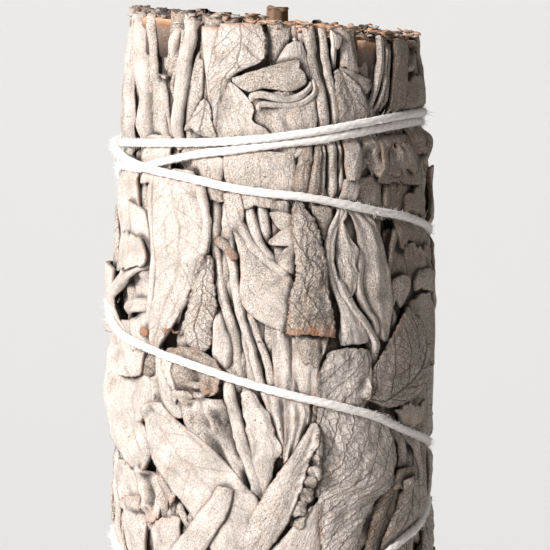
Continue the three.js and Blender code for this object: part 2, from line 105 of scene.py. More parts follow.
def bend_round(s, z, h):
    angle = s / ROUND
    radius = girth(z) + h
    return np.stack([radius * np.sin(angle), -radius * np.cos(angle), z], axis=-1)


def seen_at(points, facing=0.0):
    """Places (s, z) of points given as (right of the middle, below the top) as seen ahead."""
    p = np.asarray(points, float)
    z = LENGTH - p[:, 1]
    angle = math.radians(facing) + np.arcsin(np.clip(p[:, 0] / (girth(z) + 0.1), -0.99, 0.99))
    return np.stack([angle * ROUND, z - sunk_at(angle)], axis=-1)


def sunk_at(angle):
    """A camera above the level sees the sides higher than the front, so they are put lower."""
    return FRONT * math.sin(VIEW_RISE) * (1 - np.cos(angle)) * (np.abs(angle) < math.pi / 2)


def cut_height(s):
    """The upper cut end: it slopes down a little to the right and is slightly uneven."""
    x = 17.0 * np.sin(s / ROUND)
    return LENGTH + 0.35 - CUT_SLOPE * x + 0.3 * noise(s / 1.6, 0.0, 5) + 0.4 * noise(s / 0.45, 0.0, 6)


print("girth at mid length, mm:", float(girth(LENGTH / 2)))

# %% [markdown]
# ## Smooth lines and repeatable roughness
# A leaf's outline is a smooth curve through a few points. Its crumpling comes from value noise,
# which is a lattice of fixed pseudo-random heights with smooth slopes between them, so that
# every run gives the same leaves.

# %% Curves and noise
def smooth_line(points, shares):
    p = np.asarray(points, float)
    last = len(p) - 1
    x = np.clip(shares, 0.0, 1.0) * last
    i = np.minimum(x.astype(int), last - 1)
    f = (x - i)[:, None]
    before, start, end = p[np.maximum(i - 1, 0)], p[i], p[i + 1]
    after = p[np.minimum(i + 2, last)]
    return start + 0.5 * f * (
        end - before
        + f * (2 * before - 5 * start + 4 * end - after + f * (3 * (start - end) + after - before))
    )


def lattice(i, j, seed):
    mixed = (i * 374761393 + j * 668265263 + seed * 362437) & 0xFFFFFFFF
    mixed = ((mixed ^ (mixed >> 13)) * 1274126177) & 0xFFFFFFFF
    return ((mixed ^ (mixed >> 16)) & 0xFFFF) / 32767.5 - 1.0


def noise(x, y, seed):
    x, y = np.broadcast_arrays(np.asarray(x, float), np.asarray(y, float))
    i, j = np.floor(x).astype(np.int64), np.floor(y).astype(np.int64)
    fx, fy = x - i, y - j
    fx, fy = fx * fx * (3 - 2 * fx), fy * fy * (3 - 2 * fy)
    low = lattice(i, j, seed) * (1 - fx) + lattice(i + 1, j, seed) * fx
    high = lattice(i, j + 1, seed) * (1 - fx) + lattice(i + 1, j + 1, seed) * fx
    return low * (1 - fy) + high * fy


def ease(x):
    x = np.clip(x, 0.0, 1.0)
    return x * x * (3 - 2 * x)


random = np.random.default_rng(20409)

# %% [markdown]
# ## The pile
# A grid over the rolled-out bunch keeps the height of whatever lies on top at each place. A new
# leaf reads it to know what it has to lie over, and then raises it. This is much quicker than a
# cloth simulation of more than a thousand leaves, and each stays where it was put.

# %% Pile of leaves
CELL = 0.2
COLUMNS = int(round(CIRCUIT / CELL))
BELOW = 4.0
ROWS = int((LENGTH + 2 * BELOW) / CELL)
CORE = -2.7
pile = np.full((ROWS, COLUMNS), CORE)


def read_grid(grid, s, z):
    x = s / CELL - 0.5
    y = np.clip((z + BELOW) / CELL - 0.5, 0.0, ROWS - 1.001)
    i, j = np.floor(x).astype(int), np.floor(y).astype(int)
    fx, fy = x - i, y - j
    left, right = i % COLUMNS, (i + 1) % COLUMNS
    low = grid[j, left] * (1 - fx) + grid[j, right] * fx
    high = grid[j + 1, left] * (1 - fx) + grid[j + 1, right] * fx
    return low * (1 - fy) + high * fy


def raise_pile(s, z, h):
    for ds, dz in ((-0.07, -0.07), (0.07, -0.07), (-0.07, 0.07), (0.07, 0.07)):
        column = np.floor((s + ds) / CELL).astype(int) % COLUMNS
        row = np.clip(np.floor((z + dz + BELOW) / CELL).astype(int), 0, ROWS - 1)
        np.maximum.at(pile, (row, column), h)


def soften(grid, times):
    """Averages each point with its neighbours, without pulling in the edges."""
    for _ in range(times):
        padded = np.pad(grid, 1, mode="edge")
        grid = (padded[:-2, 1:-1] + padded[2:, 1:-1] + 2 * padded[1:-1, 1:-1]) / 4
        padded = np.pad(grid, 1, mode="edge")
        grid = (padded[1:-1, :-2] + padded[1:-1, 2:] + 2 * padded[1:-1, 1:-1]) / 4
    return grid


print("pile grid:", pile.shape)

# %% [markdown]
# ## One leaf
# A leaf is a grid of points between its two long margins. Each leaf starts from these settings
# and names only what it has of its own. Lengths are in millimetres.

# %% Settings of a leaf
SIDE_VEIN_APART = 2.4
SIDE_VEIN_SLANT = 0.95
LOBE_APART = 0.75  # of the scallops along a margin
THICKNESS = 0.28
DETAIL = 1.3  # times the spacing of points that a leaf asks for
HIDDEN_BELOW = -0.9  # leaves at a lower level show only through gaps
LEAF = dict(
    node=None,  # the frame's node that it belongs to, or else the ring sprig that it lies on
    level=0.0,  # how far it stands out from the bunch's average surface
    drape=True,  # it sinks or rises with the leaves below, or else it keeps its level
    crown=0.25,  # domed across
    tube=0.0,  # rolled lengthwise
    tilt=0.0,  # leaning to one side
    lip=(0.0, 0.0),  # raised margins, left and right
    pleat=0.0,  # height of lengthwise folds
    pleats=2,
    crumple=0.12,
    dive=(0.0, 0.0),  # how far the first and last end go under their neighbours
    reach=2.2,  # the length on which they do
    wave=0.08,  # unevenness of the margins
    torn=0.3,  # raggedness of the ends
    blunt=False,  # ends cut off square
    vein=0.0,
    net=0.95,  # size of the net of veins
    rib=0.5,  # place of the midrib, from 0 at the left margin to 1 at the right
    veer=0.0,  # slant of the midrib
    tone=0.3,  # from 0, pale, to 1, brown
    brown=(0.0, 0.0),  # dryness of the first and last end
    step=0.19,  # spacing of the points
)
RING_SPRIGS = 8
RING_START = -22.0  # degrees
leaves = []


def sprig_at(s):
    turn = (math.degrees(s / ROUND) - RING_START) % 360
    return f"sprig_ring_{int(turn // (360 / RING_SPRIGS)) + 1}"


def new_leaf(left, right, look):
    leaf = SimpleNamespace(**{**LEAF, **look})
    leaf.seed = 11 + 7 * len(leaves)
    leaf.left, leaf.right = np.asarray(left, float), np.asarray(right, float)
    shares = np.linspace(0, 1, 30)
    a, b = smooth_line(leaf.left, shares), smooth_line(leaf.right, shares)
    leaf.length = np.sum(np.hypot(*np.diff((a + b) / 2, axis=0).T))
    leaf.width = np.max(np.hypot(*(b - a).T))
    step = leaf.step * DETAIL
    leaf.v = np.linspace(0, 1, max(int(leaf.length / step), 6) + 1)
    leaf.u = np.linspace(0, 1, max(int(leaf.width / step), 5) + 1)
    leaf.side = 2 * leaf.u - 1
    return leaf


print("settings of a leaf:", len(LEAF))

# %% [markdown]
# The outline comes first. The ends are rounded unless they are blunt, the margins are uneven and
# scalloped as a sage leaf's are, and what was torn off an end is taken away from it.

# %% Outline of a leaf
def margins(leaf):
    a, b = smooth_line(leaf.left, leaf.v), smooth_line(leaf.right, leaf.v)
    leaf.open_end = np.array([a[0, 1] < LENGTH - 0.8, a[-1, 1] > 0.8])  # not at a cut end
    span = b - a
    along = leaf.v * leaf.length
    curve = 0.15 if leaf.blunt else min(0.3 * leaf.width, 0.7)
    to_end = np.stack([along, leaf.length - along])
    to_end = np.where(leaf.open_end[:, None], to_end, 9.0).min(axis=0)
    round_off = 1 - np.sqrt(np.clip(1 - (1 - np.clip(to_end / curve, 0, 1)) ** 2, 0.02, 1))
    a, b = a + 0.5 * span * round_off[:, None], b - 0.5 * span * round_off[:, None]
    out = span / np.maximum(np.hypot(*span.T), 1e-6)[:, None]
    for edge, way, sign in ((a, 0.3, -1), (b, 7.3, 1)):
        ragged = 1.4 * noise(along / 2.6, way, leaf.seed) + noise(along / 0.9, way, leaf.seed)
        shift = 3 * noise(along / 1.5, way, leaf.seed + 1)
        lobes = np.abs(np.sin(math.pi * along / LOBE_APART + shift))
        teeth = 0.0 if leaf.tube else (0.04 + 0.17 * leaf.vein) * lobes
        edge += out * (leaf.wave * ragged + sign * teeth)[:, None]
    return a, b


def outline(leaf):
    """Gives each point its place (s, z), and its distances from the rib, the sides and the ends."""
    a, b = margins(leaf)
    at = leaf.u * leaf.width
    coarse = np.abs(noise(at / 1.3, 0.4, leaf.seed + 20))
    fine = np.abs(noise(at / 0.45, 5.0, leaf.seed + 20))
    corner = 0.05 if leaf.blunt else min(0.16 * leaf.width, 0.45)
    torn = 0.0 if leaf.tube else leaf.torn
    bite = torn * (1.3 * coarse + 0.7 * fine) + corner * leaf.side**2
    other_bite = np.roll(bite, (len(leaf.u) - 1) // 3)
    first = np.where(leaf.open_end[0], bite, 0) / leaf.length
    last = 1 - np.where(leaf.open_end[1], other_bite, 0) / leaf.length
    share = first + leaf.v[:, None] * (last - first)
    a = np.stack([np.interp(share, leaf.v, a[:, k]) for k in (0, 1)], -1)
    b = np.stack([np.interp(share, leaf.v, b[:, k]) for k in (0, 1)], -1)
    place = a + (b - a) * leaf.u[None, :, None]
    leaf.s, leaf.z = place[..., 0], place[..., 1]
    leaf.span = np.hypot(b[..., 0] - a[..., 0], b[..., 1] - a[..., 1])
    leaf.across = (leaf.u[None] - leaf.rib) * leaf.span
    leaf.far = share * leaf.length
    leaf.to_start, leaf.to_end = leaf.far - first * leaf.length, last * leaf.length - leaf.far


# %% [markdown]
# Then comes the shape across and along it: dome, roll, folds, dents and creases. They are sums of
# simple curves and noise, which cost nothing and never cut through each other.

# %% Form of a leaf
def rolled(leaf):
    bow = np.sqrt(np.clip(1 - leaf.side**2, 0, 1))[None]
    middle = 0.5 + 0.28 * lattice(np.int64(leaf.seed), np.int64(1), 3)
    middle = middle + 0.12 * noise(leaf.far / 5, 0.2, leaf.seed)
    valley = np.exp(-((((leaf.u[None] - middle) * leaf.span) / 0.2) ** 2))
    depth = 0.12 + 0.1 * noise(leaf.far / 3.5, 4.4, leaf.seed)
    return leaf.tube * leaf.span / 2 * (bow - 1) - depth * valley


def crumpled(leaf):
    far, across, seed = leaf.far, leaf.across, leaf.seed
    bend = across / 2.3 + 0.5 * noise(far / 3.0, 1.5, seed)
    folds = 1.3 * (0.4 - 2.0 * np.abs(noise(bend, far / 3.6, seed + 14)))
    dents = 1.3 * noise(across / 1.9, far / 4.0, seed + 2)
    small = 0.5 * noise(across / 0.7, far / 1.9, seed + 4)
    return leaf.crumple * (folds + dents + small)


def creases(leaf):
    far, across, seed = leaf.far, leaf.across, leaf.seed
    line = noise(across / 1.1 + 0.4 * noise(far / 2.0, 0.5, seed), far / 7.0, seed + 12)
    return np.exp(-((line / 0.11) ** 2)) * ease(0.5 + noise(across / 2.0, far / 4.0, seed + 13))


def own_form(leaf):
    """How far each point stands out by the leaf's own shape."""
    side, left_gap = leaf.side, leaf.u[None] * leaf.span
    right_gap = (1 - leaf.u[None]) * leaf.span
    form = leaf.crown * (1 - side**2)[None] + leaf.tilt * side[None] * leaf.span / 2
    form = form + (rolled(leaf) if leaf.tube else -0.05 * (np.abs(side) ** 7)[None])
    fold = leaf.u[None] * leaf.pleats
    fold = fold + 0.3 * noise(leaf.far / 4.0, leaf.u[None] * 2.0, leaf.seed + 1)
    form = form + leaf.pleat * (np.abs(np.cos(math.pi * fold)) ** 1.5 - 0.6)
    leaf.crease = creases(leaf)
    form = form + crumpled(leaf) - 0.13 * leaf.crease
    form = form + leaf.lip[0] * np.exp(-((left_gap / 0.4) ** 2))
    form = form + leaf.lip[1] * np.exp(-((right_gap / 0.4) ** 2))
    for dive, to_end in zip(leaf.dive, (leaf.to_start, leaf.to_end)):
        form = form - dive * (1 - ease(to_end / leaf.reach))
    nearest = np.minimum(leaf.to_start, leaf.to_end)
    return form - (0.16 if leaf.tube else 0.04) * np.exp(-nearest / 0.15)


# %% [markdown]
# The leaf is then laid on the pile. It follows what lies below it softly, never dips through it,
# and bulges a little between its side veins.

# %% Laying a leaf
def lie_down(leaf):
    form = own_form(leaf)
    support = read_grid(pile, leaf.s, leaf.z)
    if leaf.drape:
        resting = soften(support, max(int(6 / DETAIL), 1)) + THICKNESS
        h = np.maximum(np.clip(resting, leaf.level, leaf.level + 0.7) + form, support + 0.1)
        h = np.maximum(soften(h, 1), support + 0.06)
    else:
        h = leaf.level + form
    h = np.maximum(h, CORE + 0.3)
    veins = (leaf.far - SIDE_VEIN_SLANT * np.abs(leaf.across)) / (SIDE_VEIN_APART * leaf.net)
    off_side = np.abs(veins - np.round(veins)) * SIDE_VEIN_APART
    leaf.h = h + leaf.vein * 0.07 * ease(np.minimum(off_side, np.abs(leaf.across) / leaf.net) / 0.6)
    leaf.z = np.clip(np.minimum(leaf.z, cut_height(leaf.s)), 0.0, None)
    raise_pile(leaf.s.ravel(), leaf.z.ravel(), leaf.h.ravel())


def dry_and_dark(leaf):
    """How dry each point is, how dark painted shade makes its margin or crease, and its tone, which
    painted shade makes browner round on the right.
    """
    uneven = 0.5 + 0.5 * noise(leaf.across / 0.8, leaf.far / 0.8, leaf.seed + 8)
    dry = leaf.brown[0] * ease(1.15 - leaf.to_start / 1.7 - 0.5 * uneven)
    dry = np.maximum(dry, leaf.brown[1] * ease(1.15 - leaf.to_end / 2.4 - 0.5 * uneven))
    # line is painted shade: a dark line in each crease and, unless the leaf is rolled, along its margins
    line = 0.4 * leaf.crease
    if not leaf.tube:
        margin = (1 - np.abs(leaf.side))[None] * leaf.span / 2
        margin = np.minimum(margin, np.minimum(leaf.to_start, leaf.to_end))
        rusty = 0.7 * np.exp(-((margin / 0.17) ** 2)) * np.clip(1.6 * uneven - 0.6, 0, 1)
        dry = np.maximum(dry, rusty)
        line = np.maximum(line, (0.55 + 0.3 * leaf.vein) * np.exp(-((margin / 0.1) ** 2)))
    at_cut = ease(1 - (cut_height(leaf.s) - leaf.z) / 0.5)
    leaf.dry, leaf.line = np.maximum(dry, 0.8 * at_cut * uneven), line
    around = (math.degrees(np.mean(leaf.s) / ROUND) + 180) % 360 - 180
    # painted shade: leaves round on the right, between about 32 and 120 degrees, get a browner tone, less
    # of it further down
    shade = 0.27 - 0.17 * ease((LENGTH - np.mean(leaf.z) - 26) / 14)
    shade = shade * ease((around - 32) / 25) * (around < 120)
    spots = 0.1 * noise(leaf.across / 2.5, leaf.far / 3.5, leaf.seed + 10)
    leaf.tone = np.clip(leaf.tone + shade + spots, 0, 1)


def lay(left, right, **look):
    leaf = new_leaf(left, right, look)
    outline(leaf)
    lie_down(leaf)
    dry_and_dark(leaf)
    leaf.node = leaf.node or sprig_at(float(np.mean(leaf.s)))
    own = np.stack([leaf.across - leaf.veer * leaf.far, leaf.far + leaf.veer * leaf.across], -1)
    leaf.own = own / leaf.net + [0, 37.0 * len(leaves)]
    leaves.append(leaf)


def sheet(left, right, facing=0.0, **look):
    """A flat or domed leaf between two edges, given as seen from the front."""
    lay(seen_at(left, facing), seen_at(right, facing), **look)


def ridge(points, half=0.6, facing=0.0, **look):
    """A narrow rolled or folded leaf along a line. A point may carry its own half width."""
    p = [(*point, half) if len(point) == 2 else point for point in points]
    fine = smooth_line(p, np.linspace(0, 1, 4 * len(p)))
    line = seen_at(fine[:, :2], facing)
    ahead = np.gradient(line, axis=0)
    ahead /= np.hypot(*ahead.T)[:, None]
    sideways = np.stack([ahead[:, 1], -ahead[:, 0]], axis=-1) * fine[:, 2:3]
    settings = dict(level=0.1, crown=0.0, tube=0.85, crumple=0.13, step=0.2, drape=False, wave=0.1)
    settings["dive"] = tuple(0.8 * (0.8 < p[k][1] < LENGTH - 0.8) for k in (0, -1))
    lay(line + sideways, line - sideways, **{**settings, **look})


# %% [markdown]
# ## The crush underneath
# Behind the leaves that can be told apart lie many more, folded into narrow upright strips.
# They are drawn by a rule in two layers, each strip with its own place, slant, width and colour.

# %% Strips below the outer leaves
STRIP_APART = 2.2
STRIP_LONG = 17.0
ROW_APART = 0.85  # times a strip's length, so that their ends overlap


def strip(s, z, long, half, level, tone, bow, slant, **look):
    t = np.linspace(-0.5, 0.5, 7)
    line = np.stack([s + slant * t + bow * np.cos(math.pi * t), z + long * t], axis=-1)
    full = half * (0.45 + 0.55 * np.cos(math.pi * t * 0.86))[:, None]
    offset = np.stack([full[:, 0], 0 * full[:, 0]], axis=-1)
    lay(line - offset, line + offset, level=level, tone=tone, drape=False, crown=0.0, **look)


def strips(level, spread, apart, long, half, step):
    for column in range(int(CIRCUIT / apart)):
        for row in range(-1, int(LENGTH / (long * ROW_APART)) + 1):
            s = (column + 0.5 * random.random()) * apart
            z = (row + 0.5 + 0.5 * random.random()) * long * ROW_APART
            strip(
                s, z, long * random.uniform(0.9, 1.4), half * random.uniform(0.7, 1.35),
                level + spread * random.random(), random.uniform(0.1, 0.75),
                random.uniform(-0.8, 0.8), random.uniform(-1.8, 1.8),
                tube=random.uniform(0.6, 1.1), crumple=random.uniform(0.08, 0.25), step=step,
                wave=0.12,
            )


strips(-1.9, 0.7, STRIP_APART, STRIP_LONG, 1.3, 1.0)
strips(-1.1, 0.6, 3.1, 22.0, 1.5, 0.6)
print("strips:", len(leaves))

# %% [markdown]
# ## Leaves low down, on the sides and at the back
# The photograph doesn't show these. They follow what it shows of the front: about half of the
# leaves are narrow rolls, and the rest are broad and either felted and smooth or veined.

# %% Leaves outside the photograph
FRONT_HALF_ANGLE = 80.0
PHOTO_DEPTH = 61.0


def in_photo(s, z):
    angle = (math.degrees(s / ROUND) + 180) % 360 - 180
    return abs(angle) < FRONT_HALF_ANGLE and LENGTH - z < PHOTO_DEPTH


def scatter():
    columns, rows = 17, 7
    for turn in range(2):
        for column in range(columns):
            for row in range(rows):
                s = (column + 0.5 * turn + random.uniform(0, 0.6)) * CIRCUIT / columns
                z = (row + 0.5 * (column % 2) + random.uniform(-0.2, 0.4)) * LENGTH / rows
                if in_photo(s, z):
                    continue
                kind = random.random()
                long = random.uniform(14, 27)
                slant = random.uniform(-6, 6) if kind > 0.8 else random.uniform(-2.4, 2.4)
                shared = dict(bow=random.uniform(-1, 1), slant=slant, step=0.42)
                tone = random.uniform(0.05, 0.6)
                if kind < 0.5:
                    strip(s, z, long, random.uniform(0.6, 1.2), random.uniform(-0.5, 0.3), tone,
                          tube=0.9, crumple=0.15, wave=0.06, **shared)
                elif kind < 0.8:
                    strip(s, z, long * 0.8, random.uniform(1.5, 2.6), random.uniform(-0.5, 0.0),
                          tone, tube=0.25, pleat=0.35, crumple=0.2, wave=0.12, **shared)
                else:
                    strip(s, z, long * 0.8, random.uniform(2.0, 3.2), random.uniform(-0.2, 0.2),
                          tone, tube=0.12, vein=0.8, crumple=0.15, wave=0.16, **shared)


def fragments(count):
    """Torn bits of leaf in between, at any slant."""
    for _ in range(count):
        s, z = random.uniform(0, CIRCUIT), random.uniform(0, LENGTH - 3)
        slant = random.uniform(-1.6, 1.6)
        strip(s, z, random.uniform(3.5, 9.0), random.uniform(0.8, 1.9), random.uniform(-0.9, -0.25),
              random.uniform(0.1, 0.85), random.uniform(-0.8, 0.8), slant, tube=0.15, crumple=0.28,
              wave=0.22, step=0.42, vein=random.choice([0.0, 0.4, 0.8]), dive=(0.5, 0.5), lip=(0.15, 0.0))


fragments(300)
scatter()
print("with the scattered ones:", len(leaves))

# %% [markdown]
# ## The leaves in the photograph
# These are placed one by one, the lower ones first. Each pair of numbers is a place in
# millimetres as seen from the front: right of the long axis, and below the upper end.

# %% Upper left
ridge([(-17.4, -1.8), (-17.2, 5), (-17.3, 12), (-17.5, 18)], 1.0, level=-0.1, tone=0.15)
ridge([(-16.2, -1.8), (-15.9, 3), (-15.5, 8), (-15.4, 14)], 1.35, level=0.0, tone=0.12, crumple=0.25)
sheet([(-14.6, 0), (-14.6, 8), (-14.2, 15)], [(-12.4, 0), (-12.2, 8), (-11.4, 15)], level=-0.9,
      tone=0.5)
ridge([(-13.4, 5), (-12.6, 9), (-12.1, 14)], 0.55, level=-0.1, tone=0.1)
ridge([(-14.4, -1.8), (-14, 2), (-13.6, 5), (-12.9, 8.5), (-12.5, 13.5)], 0.62, level=0.35,
      tone=0.4, crumple=0.14)
ridge([(-10.4, 0.2), (-11, 3.4), (-12, 6.4), (-11.5, 8.6), (-11.7, 12)], 0.3, level=-0.1, tone=0.6)
ridge([(-11.2, 0, 0.45), (-11.8, 1.8, 0.75), (-12.7, 4.3, 0.85)], level=0.15, tone=0.1,
      brown=(0.6, 0))
sheet([(-13.3, 5.2), (-12.9, 5.6), (-12.6, 6.6)], [(-12.7, 5), (-12.1, 5.4), (-11.6, 5.2)], level=0.1,
      tone=0.1, wave=0.35, torn=0.6, step=0.12)
ridge([(-12.9, 5.4), (-12.6, 8), (-12.2, 9.6)], 0.25, level=0.0, tone=0.4)
sheet([(-9.1, 3.4), (-10, 7), (-10.5, 12)], [(-8.2, 3.4), (-8.4, 8), (-9.6, 12)], level=-0.6,
      tone=0.5)
ridge([(-8.9, 2), (-9.3, 5), (-10.2, 9)], 0.35, level=-0.4, tone=0.5)
ridge([(-9.2, -1, 0.8), (-9.8, 2, 0.9), (-10.4, 5, 0.9), (-10.9, 9, 0.8), (-11.4, 14, 0.7)],
      level=0.7, tube=1.0, tone=0.12, crumple=0.08)
sheet([(-8.5, -0.2), (-8.1, 4), (-7.6, 8), (-7, 13)], [(-6, -0.1), (-6.3, 4), (-6.5, 8), (-6.2, 13)],
      level=-0.2, tone=0.1, brown=(0.9, 0), crown=0.35)
sheet([(-5.9, -0.5), (-6.9, 2.8), (-7.4, 6), (-7, 9), (-6.8, 13)],
      [(-1.6, -0.6), (-0.9, 1.6), (-1.4, 3.8), (-4.5, 5.6), (-5.5, 9), (-5.9, 13)],
      level=0.15, vein=0.75, tone=0.2, crumple=0.06, step=0.14, node="leaf_top_veined",
      brown=(0.7, 0), net=1.05)
sheet([(-7.9, 8), (-9, 9.8), (-10.3, 12)], [(-7.7, 8), (-7, 10), (-6.7, 13)], level=0.1, vein=0.8,
      tone=0.25, step=0.16)
print("leaves:", len(leaves))

# %% [markdown]
# The crumpled leaf at the top centre is one broad leaf that was folded over twice. It is built
# as its layers: the lower leaf, the part folded over it with a sharp curved edge, a rolled rim
# in two bands, and the upper flap.

# %% Folded leaf
sheet([(-0.9, 0), (-0.9, 4.6)], [(2.2, 0), (1.6, 4.4)], level=-0.9, tone=0.65)
ridge([(0.2, 0), (0.3, 4)], 0.5, level=-0.5, tone=0.5)
sheet([(1.9, 1.6), (0.9, 3), (0.1, 4.3)], [(3.2, 1), (3.9, 3.2), (4.4, 6)], level=-0.05, tone=0.25,
      crown=0.3, wave=0.05, node="leaf_folded")
sheet([(-2.6, 7.4), (-2.2, 9.4), (-2.1, 11.2), (-0.6, 13)], [(4.7, 6.8), (5, 9.4), (5, 13)],
      level=0.0, tone=0.42, crown=0.35, vein=0.25, node="leaf_folded", crumple=0.2)
sheet([(-4.9, 6), (-5.8, 9), (-6.4, 13)],
      [(-4.6, 6.1), (-2.9, 8), (-2.2, 9.3), (-2.4, 10.6), (-0.9, 11.5), (0.3, 12.8)],
      level=0.3, tone=0.3, vein=0.3, crown=0.1, wave=0.05, node="leaf_folded", lip=(0.1, 0.1),
      crumple=0.16)
ridge([(-4.8, 6.2), (-5.7, 8.6), (-6.3, 11)], 0.3, level=0.5, tone=0.4, node="leaf_folded")
sheet([(-4.9, 5.9), (-2.6, 5.1), (0.5, 4.1), (3, 3.6)],
      [(-3.7, 6.9), (-2.5, 7.3), (-0.9, 6.9), (1.6, 7.3), (3, 6.9), (4, 6.2)], level=0.65, tone=0.5,
      crown=0.15, crumple=0.08, wave=0.04, tilt=-0.1, node="leaf_folded", step=0.15, lip=(0.1, 0),
      torn=0.2)
ridge([(-1.9, 9.4), (-1.4, 8.7), (0.4, 8.8), (2.4, 8.8), (3.9, 8.2), (4.8, 7.2), (4.7, 5.8)], 0.36,
      level=0.5, tone=0.25, node="leaf_folded", dive=(0.2, 0.5), tube=0.7)
ridge([(-2.4, 8.5), (-2.3, 7.7), (-1, 7.6), (0.8, 8), (2.5, 7.9), (3.9, 7.2), (4.4, 6.1)], 0.36,
      level=0.75, tone=0.2, node="leaf_folded", dive=(0.2, 0.4), crumple=0.06, tube=0.7)

# %% [markdown]
# On the upper right most leaves are rolled into narrow upright ridges. The gaps between them are
# deep and dark, so the sheets behind them lie low and have a brown tone, which is painted shade.

# %% Upper right
sheet([(8.7, 0), (8.9, 4), (9, 9)], [(12, 0.5), (12.2, 5), (12, 10)], level=-1.6, tone=0.9)
ridge([(9.7, 0.2), (10, 2.4), (10.2, 5)], 0.5, level=-1.0, tone=0.9)
ridge([(11.3, 0.6), (11.4, 3), (11.6, 6)], 0.8, level=-0.8, tone=0.75)
ridge([(4.2, -0.2), (4.6, 4), (5.5, 8), (6.3, 12)], 0.85, level=0.3, tone=0.55, crumple=0.12)
ridge([(5.7, -0.2), (6.2, 4), (7, 8), (7.7, 12)], 0.6, level=0.2, tone=0.5)
sheet([(7.7, 0.1), (7.9, 2.4), (7.9, 4.9)], [(8.8, 0.5), (9.4, 3), (10.2, 5.4)], level=-0.3,
      tone=0.55)
ridge([(6.7, 0.2), (7, 2.4), (7.3, 4.8)], 0.32, level=0.45, tone=0.05)
sheet([(6.9, 0.6), (7, 2.6)], [(7.9, 1), (7.3, 2.6)], level=0.5, tone=0.0, wave=0.15)
sheet([(7.4, 4.4), (9.4, 5), (11.6, 6.1)], [(8.2, 5.3), (9.4, 6.8), (11, 7.6)], level=0.0,
      tone=0.5, crown=0.15)
sheet([(7, 4.6), (7.3, 8), (8, 12)], [(7.7, 4.7), (10.2, 7.3), (11.1, 11)], level=0.15, vein=0.7,
      tone=0.45, step=0.16, crown=0.15)
ridge([(12.6, 0.8), (12.5, 4), (12.1, 6.5), (11.5, 9.6)], 0.45, level=0.2, tone=0.3)
ridge([(13.2, 0.9), (13.1, 4), (12.8, 7), (12, 10)], 0.26, level=0.25, tone=0.35)
ridge([(13.6, 1), (13.5, 5), (13.1, 9.6)], 0.3, level=0.1, tone=0.35)
sheet([(13.9, 1), (13.8, 5), (13.4, 10)], [(15.4, 1.2), (15.4, 5), (15, 10)], level=0.2,
      tone=0.7, crown=0.15)
sheet([(15.3, 0.8), (15.2, 6)], [(17.2, 2), (17.4, 6)], level=-1.3, tone=1.0)
sheet([(15.5, 5.4), (15.4, 7.6), (15.2, 10)], [(16.9, 4.9), (17.7, 7), (17.7, 10)], level=0.1, tone=0.75,
      torn=0.7)
sheet([(15.4, 0.8), (15.7, 2)], [(17.4, 1.8), (17.2, 3.2)], level=0.0, tone=0.75, tilt=-0.3, torn=0.8)
ridge([(17.5, 2.4), (17.8, 6), (17.7, 10)], 0.6, level=0.1, tone=0.8)
ridge([(15.6, 4.9), (16.1, 4.4), (16.8, 4.6)], 0.5, level=0.35, tone=0.35)
print("leaves:", len(leaves))

# %% [markdown]
# Between the upper turns of string a smooth leaf lies in the middle, and crushed and torn ones
# lie at the right.

# %% Between the upper strings
sheet([(-15, 12), (-15.4, 18)], [(-12, 12), (-12.4, 18)], level=-0.1, tone=0.15, pleat=0.25)
sheet([(-10, 12.5), (-9.6, 16), (-8.6, 20)], [(-5.6, 12.5), (-5.3, 16), (-5.4, 20)], level=-0.5,
      tone=0.5, pleat=0.2)
sheet([(-8, 14.6), (-6.6, 17.8)], [(-5.6, 14.6), (-6, 17.8)], level=-0.25, tone=0.15)
sheet([(-5.8, 13.6), (-5.5, 17), (-4, 21)], [(2.4, 14.2), (2.7, 16.5), (2.3, 20.6)], level=-0.05,
      vein=0.3, tone=0.34, crown=0.4, node="leaf_smooth_upper", step=0.16, crumple=0.06)
ridge([(-4.4, 13.9), (-1, 15), (2, 14.8), (5.4, 13)], 0.55, level=0.25, tone=0.35)
sheet([(4.4, 12.9), (3, 15), (2.3, 19)], [(4.9, 12.9), (4.4, 16), (3.8, 19.6)], level=0.15,
      tone=0.85, vein=0.5, crown=0.3, step=0.16)
sheet([(5.1, 13.2), (4.5, 16), (4.1, 19.4)], [(5.6, 13.2), (5.4, 16), (5.2, 19.6)], level=0.1,
      tone=0.75, vein=0.4, crown=0.25, step=0.16)
ridge([(5.9, 12.6), (5.8, 16), (5.6, 19.8)], 0.4, level=0.1, tone=0.4)
ridge([(8, 11.6), (8, 16), (7.9, 19.6)], 0.3, level=0.0, tone=0.35)
ridge([(6.9, 12), (6.9, 16), (6.8, 20)], 0.65, level=0.2, tone=0.5)
sheet([(8.3, 17), (7.6, 21)], [(10.2, 17), (9.4, 21)], level=-0.1, tone=0.3)
sheet([(8.4, 11.4), (8.3, 15), (8.5, 17.7)], [(9.6, 11.4), (10.1, 14.6), (9.8, 17.4)], level=0.35,
      tone=0.5, crown=0.35)
sheet([(9.9, 17), (10.4, 22)], [(12.6, 16.6), (13, 22)], level=-0.5, tone=0.75)
sheet([(13.6, 16), (13.6, 22)], [(16.4, 16), (16.8, 22)], level=-0.6, tone=0.95)
ridge([(13.8, 17), (13.4, 19.4), (13.6, 22)], 0.45, level=-0.1, tone=0.7)
ridge([(15.2, 16.4), (14.7, 19), (14.8, 22)], 0.4, level=0.0, tone=0.95)
sheet([(15.2, 18.4), (15.3, 22)], [(17.4, 17.6), (17.8, 22)], level=-0.2, tone=0.9, torn=0.8)
sheet([(10.2, 11), (10.4, 13.4), (10.1, 15.4), (10.9, 17.4)], [(12.7, 10.8), (13.3, 13), (13, 15),
      (13.4, 17.2)], level=0.15, tone=0.65, crumple=0.45, wave=0.3, torn=1.0, step=0.16)
sheet([(12.8, 10.6), (12.9, 12.4), (13.6, 14)], [(15.4, 10.4), (15.4, 12.6), (14.8, 13.8)], level=0.0,
      tone=0.75, crumple=0.3, wave=0.15, torn=0.6)
sheet([(12.4, 12), (12.2, 18)], [(17.4, 12), (17.6, 18)], level=-0.2, tone=0.9)
